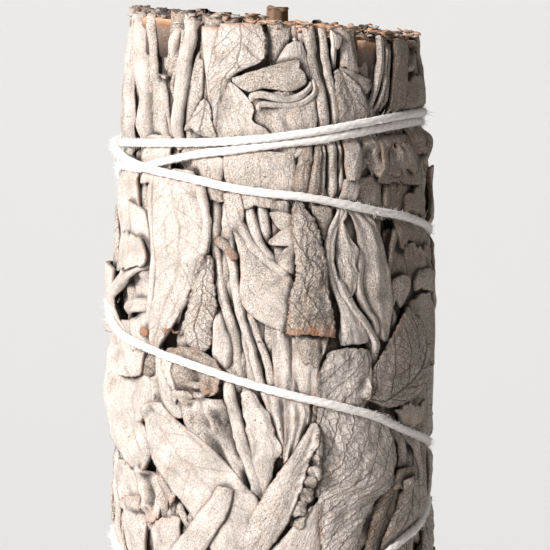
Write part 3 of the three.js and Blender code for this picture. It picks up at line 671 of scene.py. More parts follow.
sheet([(13.4, 13), (13.2, 14.8), (13.3, 17.4)], [(14.8, 12.8), (16.1, 14.4), (16.8, 16.8)], level=0.3,
      tone=0.55, pleat=0.15, pleats=3, torn=0.9, brown=(0, 0.3), crumple=0.3, step=0.16, wave=0.15)
sheet([(15.6, 10.4), (15.7, 12.6), (16.6, 14.6)], [(17.8, 10.4), (18, 13), (17.8, 14.8)], level=0.2,
      tone=0.8, torn=0.7, crumple=0.25)
ridge([(17.2, 10.4), (17.6, 12.6), (17.5, 15.4)], 1.0, level=0.6, tone=0.75, crumple=0.2, tube=0.5)
ridge([(16.9, 14.6), (17.4, 18), (18, 22)], 0.8, level=0.15, tone=0.85, crumple=0.2)
print("leaves:", len(leaves))

# %% [markdown]
# On the left a broad smooth leaf hangs from the second turn of string down to the third. Beside
# it a folded leaf sticks out of the outline.

# %% Left side
sheet([(-17.7, 15), (-17.8, 20), (-17.9, 24), (-18.1, 28)], [(-15.9, 15), (-15.5, 20), (-15.1, 24),
      (-15.4, 27)], level=0.0, tone=0.12, pleat=0.2, pleats=1)
sheet([(-16.6, 19), (-15.9, 25), (-15.7, 28)], [(-15, 20.5), (-14.2, 25), (-14.7, 29)],
      level=-0.1, tone=0.12)
sheet([(-18.7, 35.5), (-18.8, 40), (-18.5, 44), (-17.6, 47.6), (-15.9, 50.2), (-14.9, 51.2)],
      [(-16.2, 35.5), (-15.5, 38), (-15.3, 41), (-15.5, 44), (-14.5, 47.8), (-14.3, 50.6)], level=0.25,
      tone=0.12, crumple=0.35, pleat=0.2, pleats=1, wave=0.16, tilt=-0.1)
sheet([(-18.4, 48.4), (-18, 52), (-17.2, 55.4)], [(-15.2, 50.4), (-14.5, 53), (-14.4, 55)], level=0.1,
      tone=0.15, crumple=0.35, torn=0.8, brown=(0, 0.3))
sheet([(-17.7, 53.6), (-17, 57.4), (-16.6, 63)], [(-15.2, 53), (-15.1, 57), (-14.8, 63)], level=-0.2,
      tone=0.3, crumple=0.3, torn=0.6, brown=(0.4, 0.9))
sheet([(-14.2, 56.2), (-13.6, 62)], [(-11, 55.4), (-10.6, 62)], level=-0.1, tone=0.2,
      brown=(0.35, 0), wave=0.15, torn=0.6)
sheet([(-15.2, 49.6), (-15, 53), (-14.6, 57.4)], [(-12.6, 51), (-12.9, 53.6), (-13.2, 56.8)], level=0.05,
      tone=0.25, brown=(0, 0.5), wave=0.25, crumple=0.4, torn=1.0)
sheet([(-13.4, 50.4), (-12.8, 52.6), (-12.2, 55.2)], [(-12.2, 50.6), (-11.3, 52.8), (-11.2, 54.4)],
      level=0.1, tone=0.5, brown=(0.6, 0.7), wave=0.4, crumple=0.6, torn=1.0, step=0.13)
ridge([(-11.6, 53.4), (-10.4, 55.8), (-9.6, 58)], 0.4, level=0.1, tone=0.45)
sheet([(-18.2, 33.5), (-18, 37), (-17.2, 40)], [(-15.8, 33), (-15, 36), (-15.4, 40)], level=0.1,
      tone=0.1)
sheet([(-14.6, 39.4), (-16.1, 42.4), (-15.4, 45)], [(-13.6, 39.6), (-13.2, 42.6), (-15.1, 45.2)],
      level=0.45, tone=0.1, crown=0.3, tilt=0.15)
sheet([(-16.6, 27.5), (-16.4, 32), (-16.2, 37)], [(-13.8, 27.5), (-13.8, 32), (-13.6, 37.4)],
      level=-0.6, tone=0.15)
ridge([(-17.3, 32.5), (-16.2, 31.7), (-14.4, 31.4)], 0.85, level=0.6, tone=0.05)
ridge([(-14, 16.5), (-14.1, 20), (-13.9, 24), (-13.9, 28), (-14.3, 32), (-14.7, 35.4)], 0.65,
      level=0.25, tone=0.1)
sheet([(-6, 26.8), (-6.6, 30), (-5.6, 35)], [(-1, 27), (-0.6, 30.6), (-1, 35)], facing=-76,
      level=0.5, crown=0.6, tone=0.0, node="leaf_left_fold")
ridge([(-14.2, 26.4, 0.7), (-15.4, 26.8, 1.3), (-16.9, 27.9, 1.5), (-17.9, 29.6, 1.2),
       (-18.2, 31.6, 1.0), (-18, 33.6, 1.3), (-17.2, 36.4, 1.7)], level=0.95, tube=0.4, tone=0.0,
      crumple=0.35, node="leaf_left_fold", dive=(0.8, 0.4), wave=0.2)
sheet([(-17.2, 22.6), (-17.9, 25.6), (-17.8, 28)], [(-15, 23.4), (-14.1, 25.6), (-14.6, 27.6)],
      level=0.4, tone=0.05, crumple=0.18, torn=0.5, wave=0.15, tilt=0.1)
sheet([(-13.4, 16), (-13.7, 20), (-13.5, 24), (-13.3, 28), (-13.9, 32.5), (-14.3, 37)],
      [(-9.4, 16), (-8, 19), (-7.4, 22.6), (-7.7, 26), (-9.6, 30.5), (-11.4, 33.9), (-13.7, 37.2)],
      level=0.3, tone=0.17, vein=0.35, net=1.4, crown=0.35, crumple=0.1, pleat=0.12, pleats=4, wave=0.04,
      node="leaf_broad_left", step=0.17)
ridge([(-8.9, 16.8), (-7.9, 20.5), (-7.7, 23.5), (-8.2, 26.5), (-9.9, 30.2), (-11.7, 33.7)], 0.55,
      level=0.55, tone=0.25, node="leaf_broad_left", tube=0.7)
sheet([(-15.1, 34), (-15, 35.4)], [(-14.3, 34.1), (-14.2, 35.3)], level=0.5, tone=0.9,
      brown=(1, 1), wave=0.2)
sheet([(-12.4, 33.8), (-12.1, 35.4)], [(-11.2, 34.1), (-10.9, 35.2)], level=0.45, tone=0.9,
      brown=(1, 1), wave=0.35, torn=0.8, crumple=0.5, step=0.12)
print("leaves:", len(leaves))

# %% [markdown]
# In the centre long ridges run down behind a crumpled veined leaf and a smooth one. A short brown
# curl lies on top.

# %% Centre left
ridge([(-7.3, 18.5, 0.9), (-7.1, 21.5, 0.8), (-6.8, 25, 0.7), (-6.3, 29, 0.7), (-5.6, 32, 0.7),
       (-4.6, 35.5, 0.75), (-4, 40, 0.7)], level=0.0, tone=0.3, dive=(1.1, 0.4), reach=7.0)
ridge([(-4.4, 30.5), (-3.4, 35), (-2.7, 38.5), (-2.2, 42)], 0.35, level=-0.1, tone=0.3)
ridge([(-5.2, 23.6), (-4.8, 26.4), (-4.3, 30), (-3.6, 33), (-2.8, 36), (-1.8, 39.5), (-0.9, 42.4)], 0.55,
      level=0.2, tone=0.3)
ridge([(-3.1, 31.6), (-1.9, 35), (-0.8, 38), (0.1, 42)], 0.48, level=0.05, tone=0.35)
sheet([(-0.3, 34), (-0.1, 38), (0.3, 42)], [(2.3, 34.6), (2.4, 38), (2.5, 42)], level=0.05,
      tone=0.28, pleat=0.4, pleats=2, crumple=0.16)
sheet([(-7.8, 25.8), (-8.9, 28.6), (-9.8, 31.5), (-10.2, 34.5), (-8.9, 37.2)],
      [(-7.3, 25.8), (-6.9, 29), (-6.7, 32), (-7, 35), (-7.8, 37.2)], level=0.1, vein=0.9,
      wave=0.22, tone=0.45, crown=0.45, node="leaf_crumpled", step=0.14, net=0.8)
ridge([(-6.6, 32, 0.35), (-6.2, 34.4, 0.85), (-5.9, 36.8, 1.35), (-6.4, 39.6, 0.7)], level=0.45,
      tube=0.75, tone=0.1, crumple=0.06)
sheet([(-5.8, 18.4), (-5.5, 21), (-4.9, 23.2)], [(-3.8, 18.4), (-3.3, 21.4), (-4.1, 23.8)],
      level=0.1, tone=0.45)
ridge([(-1.4, 19), (-1, 22), (-0.6, 24.6)], 0.6, level=0.15, tone=0.3)
ridge([(-3.1, 19), (-2.5, 21.8), (-1.7, 24), (-0.5, 26), (0.9, 27.2)], 0.58, level=0.3, tone=0.25)
sheet([(-4.7, 22.8), (-3.9, 25), (-3.7, 28), (-3.8, 30.2), (-3.1, 32.2), (-0.7, 33.9), (1.1, 34.7),
       (3.6, 35.2)],
      [(-4.5, 22.7), (-3, 24.5), (-2, 26), (-0.8, 27.2), (0.6, 28), (2.2, 28.4), (2.8, 31), (3.8, 34)],
      level=0.1, tone=0.35, crown=0.3, crumple=0.06, wave=0.04, node="leaf_mid_smooth", step=0.17)
ridge([(-4.5, 23), (-3.7, 25.2), (-3.5, 28)], 0.32, level=0.35, tone=0.15)
ridge([(-4.8, 19), (-4, 22), (-2.8, 24.3), (-1, 26.3), (1, 27.8), (2.4, 28.5)], 0.7, level=0.55,
      tone=0.25, node="leaf_mid_band")
sheet([(-0.3, 19.6), (0, 24), (0.4, 27)], [(2.6, 19.6), (2.6, 24), (2.6, 28.2)], level=-0.1,
      tone=0.45)
sheet([(-0.5, 21), (0.9, 20.9), (2.4, 21.4)], [(-0.3, 21.5), (0.5, 22.8), (2.4, 24)], level=0.3,
      tone=0.35, crown=0.05, lip=(0.1, 0.2), torn=0, blunt=True)
sheet([(-0.6, 24.4), (0.7, 23.2), (2.4, 22.2)], [(-0.4, 24.8), (0.8, 24.9), (2.6, 25)], level=0.45,
      tone=0.3, crown=0.05, lip=(0.2, 0.1), torn=0, blunt=True)
sheet([(0.5, 26.7), (1.2, 25.4), (2.4, 24.6)], [(0.6, 27.1), (1.4, 27.6), (2.6, 28.2)], level=0.4,
      tone=0.35, crown=0.05, lip=(0.2, 0.1), torn=0, blunt=True)
ridge([(-6.5, 24), (-6, 24.4), (-5.2, 25.1), (-4.2, 26.5)], 0.55, level=0.75, tone=0.9, tube=0.9,
      crumple=0.2, brown=(0.5, 0.8), dive=(0.1, 0.3), step=0.14)
print("leaves:", len(leaves))

# %% [markdown]
# The rough brown leaf in the centre lies on top of its neighbours and ends in a torn edge.
# Right of it are a long leaf in folds and a veined one that slants.

# %% Centre and right
sheet([(4.4, 20), (5, 24)], [(7, 20.2), (6.5, 25)], level=0.0, tone=0.8, crumple=0.2)
sheet([(2.2, 34.8), (2.3, 43)], [(5.4, 35), (5.2, 47)], level=0.1, tone=0.2, pleat=0.15)
ridge([(5.2, 35.4), (4.7, 39), (4.6, 43.4), (4.7, 46)], 0.3, level=0.35, tone=0.5)
sheet([(7.6, 22), (7.1, 24.6), (7.3, 27.4), (8.2, 30.8)],
      [(8.1, 22), (8.9, 24.2), (9.8, 25.5), (9.3, 27.1), (9.9, 28.3), (9.5, 29.4), (8.9, 30.8)],
      level=0.1, tone=0.45, crown=0.3, pleat=0.15, lip=(0, 0.15))
sheet([(13.4, 23), (13.2, 32)], [(18, 23), (18.2, 32)], level=-0.7, tone=1.0)
sheet([(13.7, 28.4), (13.6, 30), (14.1, 32.4)], [(15.7, 27.8), (15.6, 29.6), (14.9, 31.8)], level=0.0,
      tone=0.5, torn=0.6, crumple=0.2)
sheet([(14.2, 20.8), (14.2, 23), (14.5, 25.4)], [(17.9, 21.8), (18, 23.6), (17.4, 26)], level=0.15,
      tone=0.8, pleat=0.25, pleats=3, torn=0.8, crumple=0.2)
sheet([(14.7, 24), (15.6, 27), (16.2, 30)], [(17.8, 24.4), (18.3, 27.6), (18.2, 29)], level=-0.25,
      tone=0.75, torn=0.8, crumple=0.25)
sheet([(17.2, 27), (16.3, 28.8), (16.5, 30.4)], [(18.2, 27.2), (18.5, 29), (18.2, 30.2)], level=0.15,
      tone=0.4, torn=0.4, crumple=0.2)
ridge([(17.8, 21.4), (18.2, 27), (18.5, 31.6)], 0.7, level=0.1, tone=0.8, crumple=0.25)
sheet([(15.7, 31), (16, 33.6), (16.9, 38)], [(17.6, 29.6), (18.6, 33), (18.5, 39)], level=0.2,
      tone=0.65, pleat=0.2, pleats=1, torn=0.5)
ridge([(15.8, 31.4), (16.4, 33.4), (17, 36.4)], 0.28, level=0.5, tone=0.4)
ridge([(13.5, 30.6), (14.1, 33), (13.6, 35.6)], 0.35, level=0.2, tone=0.55)
sheet([(8.6, 19.8), (9.3, 22.4), (9.8, 24.8), (10.1, 27), (9.9, 29.6), (10.5, 31.6), (11.6, 33.6),
       (12.1, 36)],
      [(9.6, 19.8), (11.3, 21.6), (12.3, 24), (13, 26.4), (13.4, 29), (13.6, 31.4), (13.4, 33.6),
       (13.1, 36)], level=0.1, pleat=0.3, pleats=2, tone=0.4, crown=0.3, node="leaf_long_folds")
ridge([(8.9, 20.2), (10.3, 22), (11.9, 24.4), (12.7, 26.4), (13.2, 28.8), (13.4, 31), (13.2, 34)], 0.5,
      level=0.45, tone=0.3, node="leaf_long_folds")
ridge([(9.3, 23.6), (10, 26.2), (9.9, 29.6), (10.5, 31.6), (11.6, 33.6), (12, 36)], 0.5, level=0.45,
      tone=0.3, node="leaf_long_folds")
ridge([(12.4, 27.6), (12, 30), (12.3, 31.8), (13, 34.4)], 0.34, level=0.5, tone=0.3,
      node="leaf_long_folds")
ridge([(14.8, 22.6), (13.8, 24.2), (13.4, 26), (13.7, 28.4)], 0.34, level=0.5, tone=0.9)
ridge([(11, 33.6), (11.7, 36), (11.6, 38), (10.8, 41)], 0.8, level=0.25, tone=0.4)
ridge([(8.8, 19.6, 0.55), (8.1, 21.2, 0.6), (6.9, 23, 0.6), (6.4, 25.4, 0.55), (6.6, 27.6, 0.55),
       (7.3, 29.8, 0.65), (8.2, 31.6, 0.95), (9, 33.4, 1.5), (9.5, 35, 1.95), (9.7, 36.2, 1.9)],
      level=0.55, tube=0.4, tone=0.32, crumple=0.08, node="leaf_swan_neck", step=0.17,
      dive=(0.5, 0.1))
ridge([(7.1, 27.8), (8, 30), (9.2, 32.2), (10.6, 34), (11.6, 36), (11.7, 38)], 0.45, level=0.75,
      tone=0.35, node="leaf_swan_neck")
sheet([(2.2, 33.4), (2.6, 36), (3.4, 38.6)], [(7, 33.6), (6.2, 36.2), (5, 39)], level=-0.1,
      tone=0.6, pleat=0.25, pleats=3, crumple=0.3)
sheet([(2.6, 19.4), (2.1, 22), (2.5, 26.4), (2.4, 28.6), (2, 31), (1.6, 33), (1.6, 35.2)],
      [(2.9, 19.4), (3.8, 21.1), (4.9, 22.8), (5.4, 24.8), (5.8, 27.1), (6.1, 29.2), (6.5, 32),
       (6.9, 33.6), (6.8, 35.6)], level=0.85, vein=1.0, wave=0.14, tone=0.5, crown=0.35,
      crumple=0.16, torn=0.4, brown=(0, 1.0), node="leaf_rough_centre", step=0.14, net=1.1,
      rib=0.1, veer=-0.3, drape=False, blunt=True)
for x, d, half in ((6.6, 34.9, 0.6), (5.2, 35.4, 0.5), (2, 30.4, 0.35)):
    sheet([(x - half, d - 1.2), (x - 0.7 * half, d)], [(x + half, d - 1), (x + half, d)], level=0.7,
          tone=0.8, brown=(0.4, 0.9), wave=0.25, crumple=0.6, torn=1.0, step=0.12,
          node="leaf_rough_centre", drape=False)
sheet([(10.1, 42), (11, 39.8), (12.4, 37.2), (14, 34.2), (15.3, 31.6)],
      [(10.3, 42.3), (13.3, 43.2), (16.4, 41.7), (17.7, 38.4), (16.5, 33.6)], level=0.5, vein=1.0,
      rib=0.72, tone=0.62, crown=0.2, wave=0.14, node="leaf_slant_right", step=0.15, net=1.1)
sheet([(13.4, 43.2), (14.6, 44.6), (15.6, 46)], [(17.5, 41.6), (17.2, 44), (17, 46)], level=0.15,
      tone=0.5, wave=0.2, torn=0.8, brown=(0, 0.4))
print("leaves:", len(leaves))

# %% [markdown]
# Below the third turn of string the leaves are the broadest: two slant towards each other, and a
# veined one lies to the right of them.

# %% Below the third turn of string
# middles and half widths of the small lobes along a crumpled margin
MARGIN_LOBES = (
    (4.9, 46.6, 0.5), (4.8, 48, 0.6), (4.3, 49.3, 0.8), (4.5, 50.6, 0.7), (3.9, 51.8, 0.8),
    (3.6, 53.1, 0.9), (2.9, 54.6, 0.8),
)
sheet([(-1.6, 41.2), (-0.4, 44.5), (0.9, 49.4)], [(1.6, 41.6), (1.8, 45), (1.7, 50)], level=0.0,
      tone=0.2, pleat=0.35, pleats=2, crumple=0.2, step=0.16)
sheet([(1.2, 41.8), (1.3, 45.6), (1.2, 50)], [(4.2, 42), (3.9, 45.4), (2.4, 49.6)], level=0.1,
      tone=0.25, pleat=0.4, pleats=3, crumple=0.16, step=0.16)
sheet([(-12.5, 36.4), (-12.4, 38.5), (-11.4, 40.6), (-9.8, 42.5)], [(-9.2, 36.2), (-7, 37.6),
      (-5.9, 39.4), (-6.3, 42)], level=0.35, tone=0.65, crumple=0.35, vein=0.5, wave=0.25, pleat=0.3,
      pleats=3, node="leaf_brown_wad", step=0.15, brown=(0.3, 0.5))
ridge([(-11.6, 38.2), (-10.4, 40), (-8.6, 40.8), (-6.6, 39.9)], 0.4, level=0.75, tone=0.55,
      node="leaf_brown_wad", crumple=0.2, brown=(0.2, 0.2))
ridge([(-12, 39.2), (-10.6, 41.2), (-8.4, 42), (-6.2, 40.9)], 0.45, level=0.65, tone=0.6,
      node="leaf_brown_wad", crumple=0.2, brown=(0.2, 0.2))
sheet([(-13.9, 36.8), (-13.6, 40.6), (-13, 45)], [(-11.6, 37.4), (-10.9, 41), (-9.9, 44.6)], level=0.0,
      tone=0.15, crumple=0.3, pleat=0.15, pleats=2)
sheet([(-11.4, 40.7), (-11.3, 43.2)], [(-8.7, 41.6), (-9.4, 43)], level=0.15, tone=0.1)
sheet([(-10.5, 42.5), (-9.8, 45), (-8, 48), (-4.4, 53)], [(-5.9, 42), (-4.6, 45.4), (-3.5, 49),
      (-2.8, 53)], level=0.1, crumple=0.5, tone=0.35, crown=0.3, step=0.16, vein=0.3, pleat=0.15,
      pleats=2)
sheet([(-3.4, 41.2), (-3, 45), (-2.6, 49), (-1.2, 54)], [(-2.4, 41.2), (-0.4, 44.6), (0.9, 47.6),
      (0, 50), (-0.3, 53.6)], level=0.05, tone=0.15, wave=0.3, step=0.13, brown=(0, 0.3))
ridge([(-5.5, 40), (-4.6, 43.5), (-3.8, 46.5), (-2.8, 49.5), (-1.3, 54)], 0.8, level=0.4,
      tube=0.75, tone=0.1)
sheet([(-14.4, 43), (-14.4, 46.5), (-13.8, 49), (-12, 52), (-10, 54.5), (-8, 57.5), (-5.5, 63)],
      [(-12.9, 42.4), (-11, 44.9), (-9, 46.1), (-7, 47.7), (-5, 50), (-3, 52.4), (-1.4, 55),
       (-1.6, 63)], level=0.25, tone=0.12, vein=0.3, net=1.4, crown=0.3, crumple=0.08, wave=0.05,
      node="leaf_broad_slant", step=0.18)
sheet([(-5.9, 52.2), (-7.6, 54.6), (-10, 57.5), (-13, 62)], [(-4.3, 52.6), (-5, 55.5), (-6.6, 58),
      (-9.6, 63)], level=0.6, tone=0.25, crown=0.4, node="leaf_rolled_short", blunt=True, torn=0.1)
sheet([(3.6, 55.4), (1.4, 58), (-1, 60.6), (-3, 66)], [(5.6, 53.4), (5.6, 60), (5.8, 66)], level=0.1,
      tone=0.12, crown=0.25)
sheet([(6.9, 36.4), (5.6, 39), (4.9, 41.2), (4.7, 44.6)], [(11.2, 36.4), (11, 39.5), (10.6, 42),
      (10.4, 44.6)], level=0.15, vein=0.9, tone=0.2, node="leaf_veined_upper", step=0.15, net=1.0,
      rib=0.85, veer=0.2)
ridge([(13.4, 45.2), (14, 48), (14.1, 51.4)], 0.45, level=0.1, tone=0.55)
ridge([(14.6, 45.6), (15.2, 48.5), (15, 51.6)], 0.58, level=0.2, tone=0.5)
ridge([(15.7, 46.1), (16.7, 48.8), (17, 51.4), (16.4, 53.6)], 0.4, level=0.4, tone=0.35)
sheet([(16.6, 52), (16.4, 56.4)], [(17.8, 52.4), (17.6, 57)], level=0.1, tone=0.6)
sheet([(13.2, 52.2), (11.6, 55.5), (10.4, 61)], [(14.7, 51.8), (14.1, 55.4), (12.9, 61)], level=0.15,
      tone=1.0, vein=1.0, step=0.15, wave=0.12)
sheet([(14.2, 50.2), (13.2, 53)], [(16.7, 49.8), (15.6, 52.8)], level=0.25, tone=1.0, wave=0.15)
sheet([(15, 51.3), (14.2, 54.8), (12.8, 58), (12, 63)], [(16.2, 51), (16.6, 54), (15.8, 58),
      (14, 63)], level=0.35, vein=0.9, tone=0.5, wave=0.2, node="leaf_right_low", step=0.16)
sheet([(5.2, 42.8), (4.9, 47.5), (5.1, 52), (5.3, 56), (5.6, 60), (5.8, 67)],
      [(13.2, 43.6), (13.5, 48), (13.6, 51.8), (11.4, 54.2), (10, 57), (9.2, 60.5), (8, 67)],
      level=0.3, vein=1.0, wave=0.12, tone=0.12, crown=0.15, crumple=0.07, rib=1.15, veer=0.4,
      node="leaf_big_veined", step=0.15, net=1.1)
sheet([(4.2, 47.4), (3.4, 49.6), (2.5, 52.6), (1.2, 57)], [(5.4, 46.8), (5.3, 51), (4.9, 53.6),
      (3, 57.4)], level=0.1, crumple=0.4, wave=0.2, tone=0.55, torn=0.6, crown=0.2,
      node="leaf_long_slant", step=0.14, vein=0.4)
for x, d, half in MARGIN_LOBES:
    sheet([(x - 1.5 * half, d - 0.4), (x - half, d + 0.9), (x - 0.3 * half, d + 1.3)],
          [(x + 0.4 * half, d - 0.9), (x + half, d), (x + 0.7 * half, d + 1.2)], level=0.35, crown=0.4,
          crumple=0.15, wave=0.06, tone=0.35, torn=0.1, node="leaf_long_slant", step=0.13, vein=0.6)
sheet([(4.6, 44.8), (2.2, 48.6), (0.4, 51.2), (-1.6, 54.2), (-3.2, 58), (-5, 64)],
      [(5.2, 45.4), (4.9, 47.3), (3.9, 49.7), (3, 52.7), (1.5, 56.8), (-0.9, 60.4), (-3.4, 66)],
      level=0.5, tone=0.25, crown=0.35, wave=0.08, node="leaf_long_slant", step=0.16, vein=0.35, net=0.8)
print("leaves:", len(leaves))

# %% [markdown]
# ## Loose leaves elsewhere
# These lie where the frame has them: low on the front, on the sides and at the back.

# %% Ruled loose leaves
RULED = [
    ("leaf_low_front", 4, 70, 28, 4.0, -7), ("leaf_low_left", -52, 68, 30, 3.6, 4),
    ("leaf_side_right_high", 100, 16, 30, 3.8, 5), ("leaf_side_right_low", 92, 60, 34, 4.2, -6),
    ("leaf_back_high", 150, 24, 32, 4.4, 7), ("leaf_back_low", 178, 58, 36, 4.6, -8),
    ("leaf_back_left", 214, 28, 34, 4.0, 4), ("leaf_side_left_low", 252, 52, 38, 4.4, 7),
]


def ruled_leaf(node, angle, top, long, half, slant, tone):
    v = np.linspace(0, 1, 9)
    full = np.where(v < 0.42, v / 0.42, (1 - v) / 0.58)
    reach = half * (0.15 + 0.85 * np.sin(full * math.pi / 2))
    s = math.radians(angle) * ROUND + slant * (v - 0.5) + 1.2 * np.sin(math.pi * v)
    z = LENGTH - top - long * v
    lay(np.stack([s - reach, z], -1), np.stack([s + reach, z], -1), level=0.15, vein=0.8,
        crown=0.35, tone=tone, step=0.26, node=node, wave=0.14, crumple=0.12)


for number, (node, *shape) in enumerate(RULED):
    ruled_leaf(node, *shape, tone=0.25 + 0.06 * number)
print("all leaves:", len(leaves))

# %% [markdown]
# ## The string's course
# One string is wound all the way. Each pair is degrees wound, counted on from turn to turn, and
# millimetres below the upper end. It is taut, so it runs over what stands out and presses it in.

# %% Winding
WINDING = [
    (-180, 14.6), (-135, 14.1), (-90, 13.3), (-51, 13.2), (-34, 13.15), (-16, 12.95), (0, 12.5),
    (16, 11.85), (34, 10.95), (56, 10.1), (85, 9.75), (130, 10.4), (180, 11.2), (230, 12),
    (272, 13.7), (292, 14.9), (304, 15.7), (314.5, 16.4), (327, 17.1), (347, 18.4), (360, 18.95),
    (373, 19.4), (386, 20.1), (400, 20.9), (414, 21.5), (427, 22.2), (450, 23.2), (490, 25),
    (540, 27), (590, 29), (622, 30.6), (640, 33.4), (654, 35.2), (668, 36.4), (680, 37.5),
    (694, 38.8), (705, 40), (720, 41.4), (739, 42.9), (759, 44.5), (772, 45.8), (785, 46.6),
    (810, 47.6), (860, 50.5), (900, 53), (945, 55.6), (985, 58.2), (1030, 62.5), (1080, 66.5),
    (1130, 70), (1170, 72), (1260, 77), (1350, 82), (1440, 87.5), (1530, 90.6), (1620, 92),
    (1710, 92.8), (1800, 93.2), (1890, 92.8), (1960, 92), (2040, 89.6), (2110, 82), (2160, 73.5),
    (2194, 62.8), (2205, 59.8), (2216, 58), (2230, 56.4), (2250, 54.4), (2300, 44), (2340, 34),
    (2385, 24), (2425, 16.9), (2446, 15.8), (2462, 16.1), (2472, 15.5), (2482, 14.9),
    (2492, 14.4), (2501, 14.1), (2512, 13.7), (2520, 13.35), (2536, 12.85), (2554, 12.0),
    (2576, 11.15), (2605, 10.8), (2650, 12.2), (2684, 14.4),
]
TUCKED_FROM = 2400
STRING_RADIUS = 0.49
TURN_STEP = 1.5  # degrees


def wound_heights(turned):
    known = np.array(WINDING, float)
    x, y = known[:, 0], LENGTH - known[:, 1]
    slope = np.gradient(y, x)
    i = np.clip(np.searchsorted(x, turned) - 1, 0, len(x) - 2)
    span = x[i + 1] - x[i]
    t = (turned - x[i]) / span
    return (
        (2 * t**3 - 3 * t**2 + 1) * y[i] + (t**3 - 2 * t**2 + t) * slope[i] * span
        + (3 * t**2 - 2 * t**3) * y[i + 1] + (t**3 - t**2) * slope[i + 1] * span
    )


def running_mean(values, reach):
    padded = np.pad(values, reach, mode="edge")
    return np.convolve(padded, np.ones(2 * reach + 1) / (2 * reach + 1), mode="valid")


turned = np.arange(WINDING[0][0], WINDING[-1][0] + TURN_STEP, TURN_STEP)
string_s = np.radians(turned) * ROUND
string_z = wound_heights(turned) - 0.5 * FRONT * math.sin(VIEW_RISE) * (1 - np.cos(np.radians(turned)))
lying = read_grid(pile, string_s, string_z)
rest = running_mean(np.maximum(lying, -0.9), 7)
string_h = np.clip(running_mean(rest, 5) - 0.3, -0.75, 0.15)
to_right = np.abs((turned - 88 + 180) % 360 - 180)
string_h = string_h - 0.45 * (1 - ease((to_right - 15) / 25))
print("string lies between", round(float(string_h.min()), 2), "and", round(float(string_h.max()), 2))

# %% [markdown]
# Where two turns cross, the later one goes over the earlier in a low hump. The last stretch is
# the exception: it was tucked under.

# %% Crossings
order = np.where(turned > TUCKED_FROM, -turned, turned)


def add_humps():
    steps = int(round(360 / TURN_STEP))
    top = string_h.copy()
    for apart in range(1, int((turned[-1] - turned[0]) / 360) + 1):
        shift = apart * steps
        early = np.arange(len(turned) - shift)
        late = early + shift
        near = np.clip(1.25 - np.abs(string_z[early] - string_z[late]) / 1.25, 0, 1)
        over = np.where(order[late] > order[early], late, early)
        under = np.where(order[late] > order[early], early, late)
        wanted = string_h[under] + 1.7 * STRING_RADIUS * ease(near)
        hit = near > 0
        np.maximum.at(top, over[hit], wanted[hit])
    spread = np.array([top[max(i - 4, 0) : i + 5].max() for i in range(len(top))])
    return np.maximum(running_mean(spread, 4), string_h)


string_h = add_humps()
print("highest hump:", round(float(string_h.max()), 2))

# %% [markdown]
# ## Pressing the leaves in
# Along the string all layers are pushed inwards together, most under the string and less beside
# it, which keeps every leaf in its place in the pile.

# %% Pressed hollow along the string
PRESS_REACH = 2.4  # from the string's middle
PRESS_MOST = 2.2


def pressed_in():
    allowed = np.full(pile.shape, 9.0)
    column = np.floor(string_s / CELL).astype(int)
    row = np.floor((string_z + BELOW) / CELL).astype(int)
    reach = int(PRESS_REACH / CELL)
    rise = 0.75 + 1.1 * (1 - ease((to_right - 15) / 25))
    for dc in range(-reach, reach + 1):
        for dr in range(-reach, reach + 1):
            away = math.hypot(dc, dr) * CELL
            if away > PRESS_REACH:
                continue
            height = string_h - 0.12 + rise * max(away - 0.35, 0.0) ** 1.25
            place = (np.clip(row + dr, 0, ROWS - 1), (column + dc) % COLUMNS)
            np.minimum.at(allowed, place, height)
    excess = np.clip(pile - allowed, 0.0, PRESS_MOST)
    for _ in range(2):
        excess = np.maximum(excess, soften(excess, 2))
    return soften(excess, 1)


pressed = pressed_in()
print("deepest press, mm:", round(float(pressed.max()), 2))

# %% [markdown]
# ## Painted shade in the crevices
# Between the leaves their colour is darkened towards a near-black brown: this is painted shade,
# with a little dust. How far a point lies below the average height round it tells how much of it
# the point gets.

# %% Painted crevice shade
def box_mean(grid, reach):
    for axis in (0, 1):
        mode = "edge" if axis == 0 else "wrap"
        pad = [(reach, reach) if a == axis else (0, 0) for a in (0, 1)]
        total = np.cumsum(np.pad(grid, pad, mode=mode), axis=axis)
        total = np.concatenate([np.zeros_like(np.take(total, [0], axis)), total], axis)
        size = 2 * reach + 1
        high = np.take(total, np.arange(size, total.shape[axis]), axis)
        low = np.take(total, np.arange(0, total.shape[axis] - size), axis)
        grid = (high - low) / size
    return grid


wide_mean = box_mean(pile, int(1.3 / CELL))
near_mean = box_mean(pile, int(0.4 / CELL))


# painted shade: how much darker a point is made for lying below the mean height near it and wide round it
def crevice_shade(s, z, h):
    wide = np.clip((read_grid(wide_mean, s, z) - h - 0.15) / 1.2, 0.0, 1.0)
    near = np.clip((read_grid(near_mean, s, z) - h - 0.04) / 0.28, 0.0, 1.0)
    return np.maximum(wide, 0.85 * near)
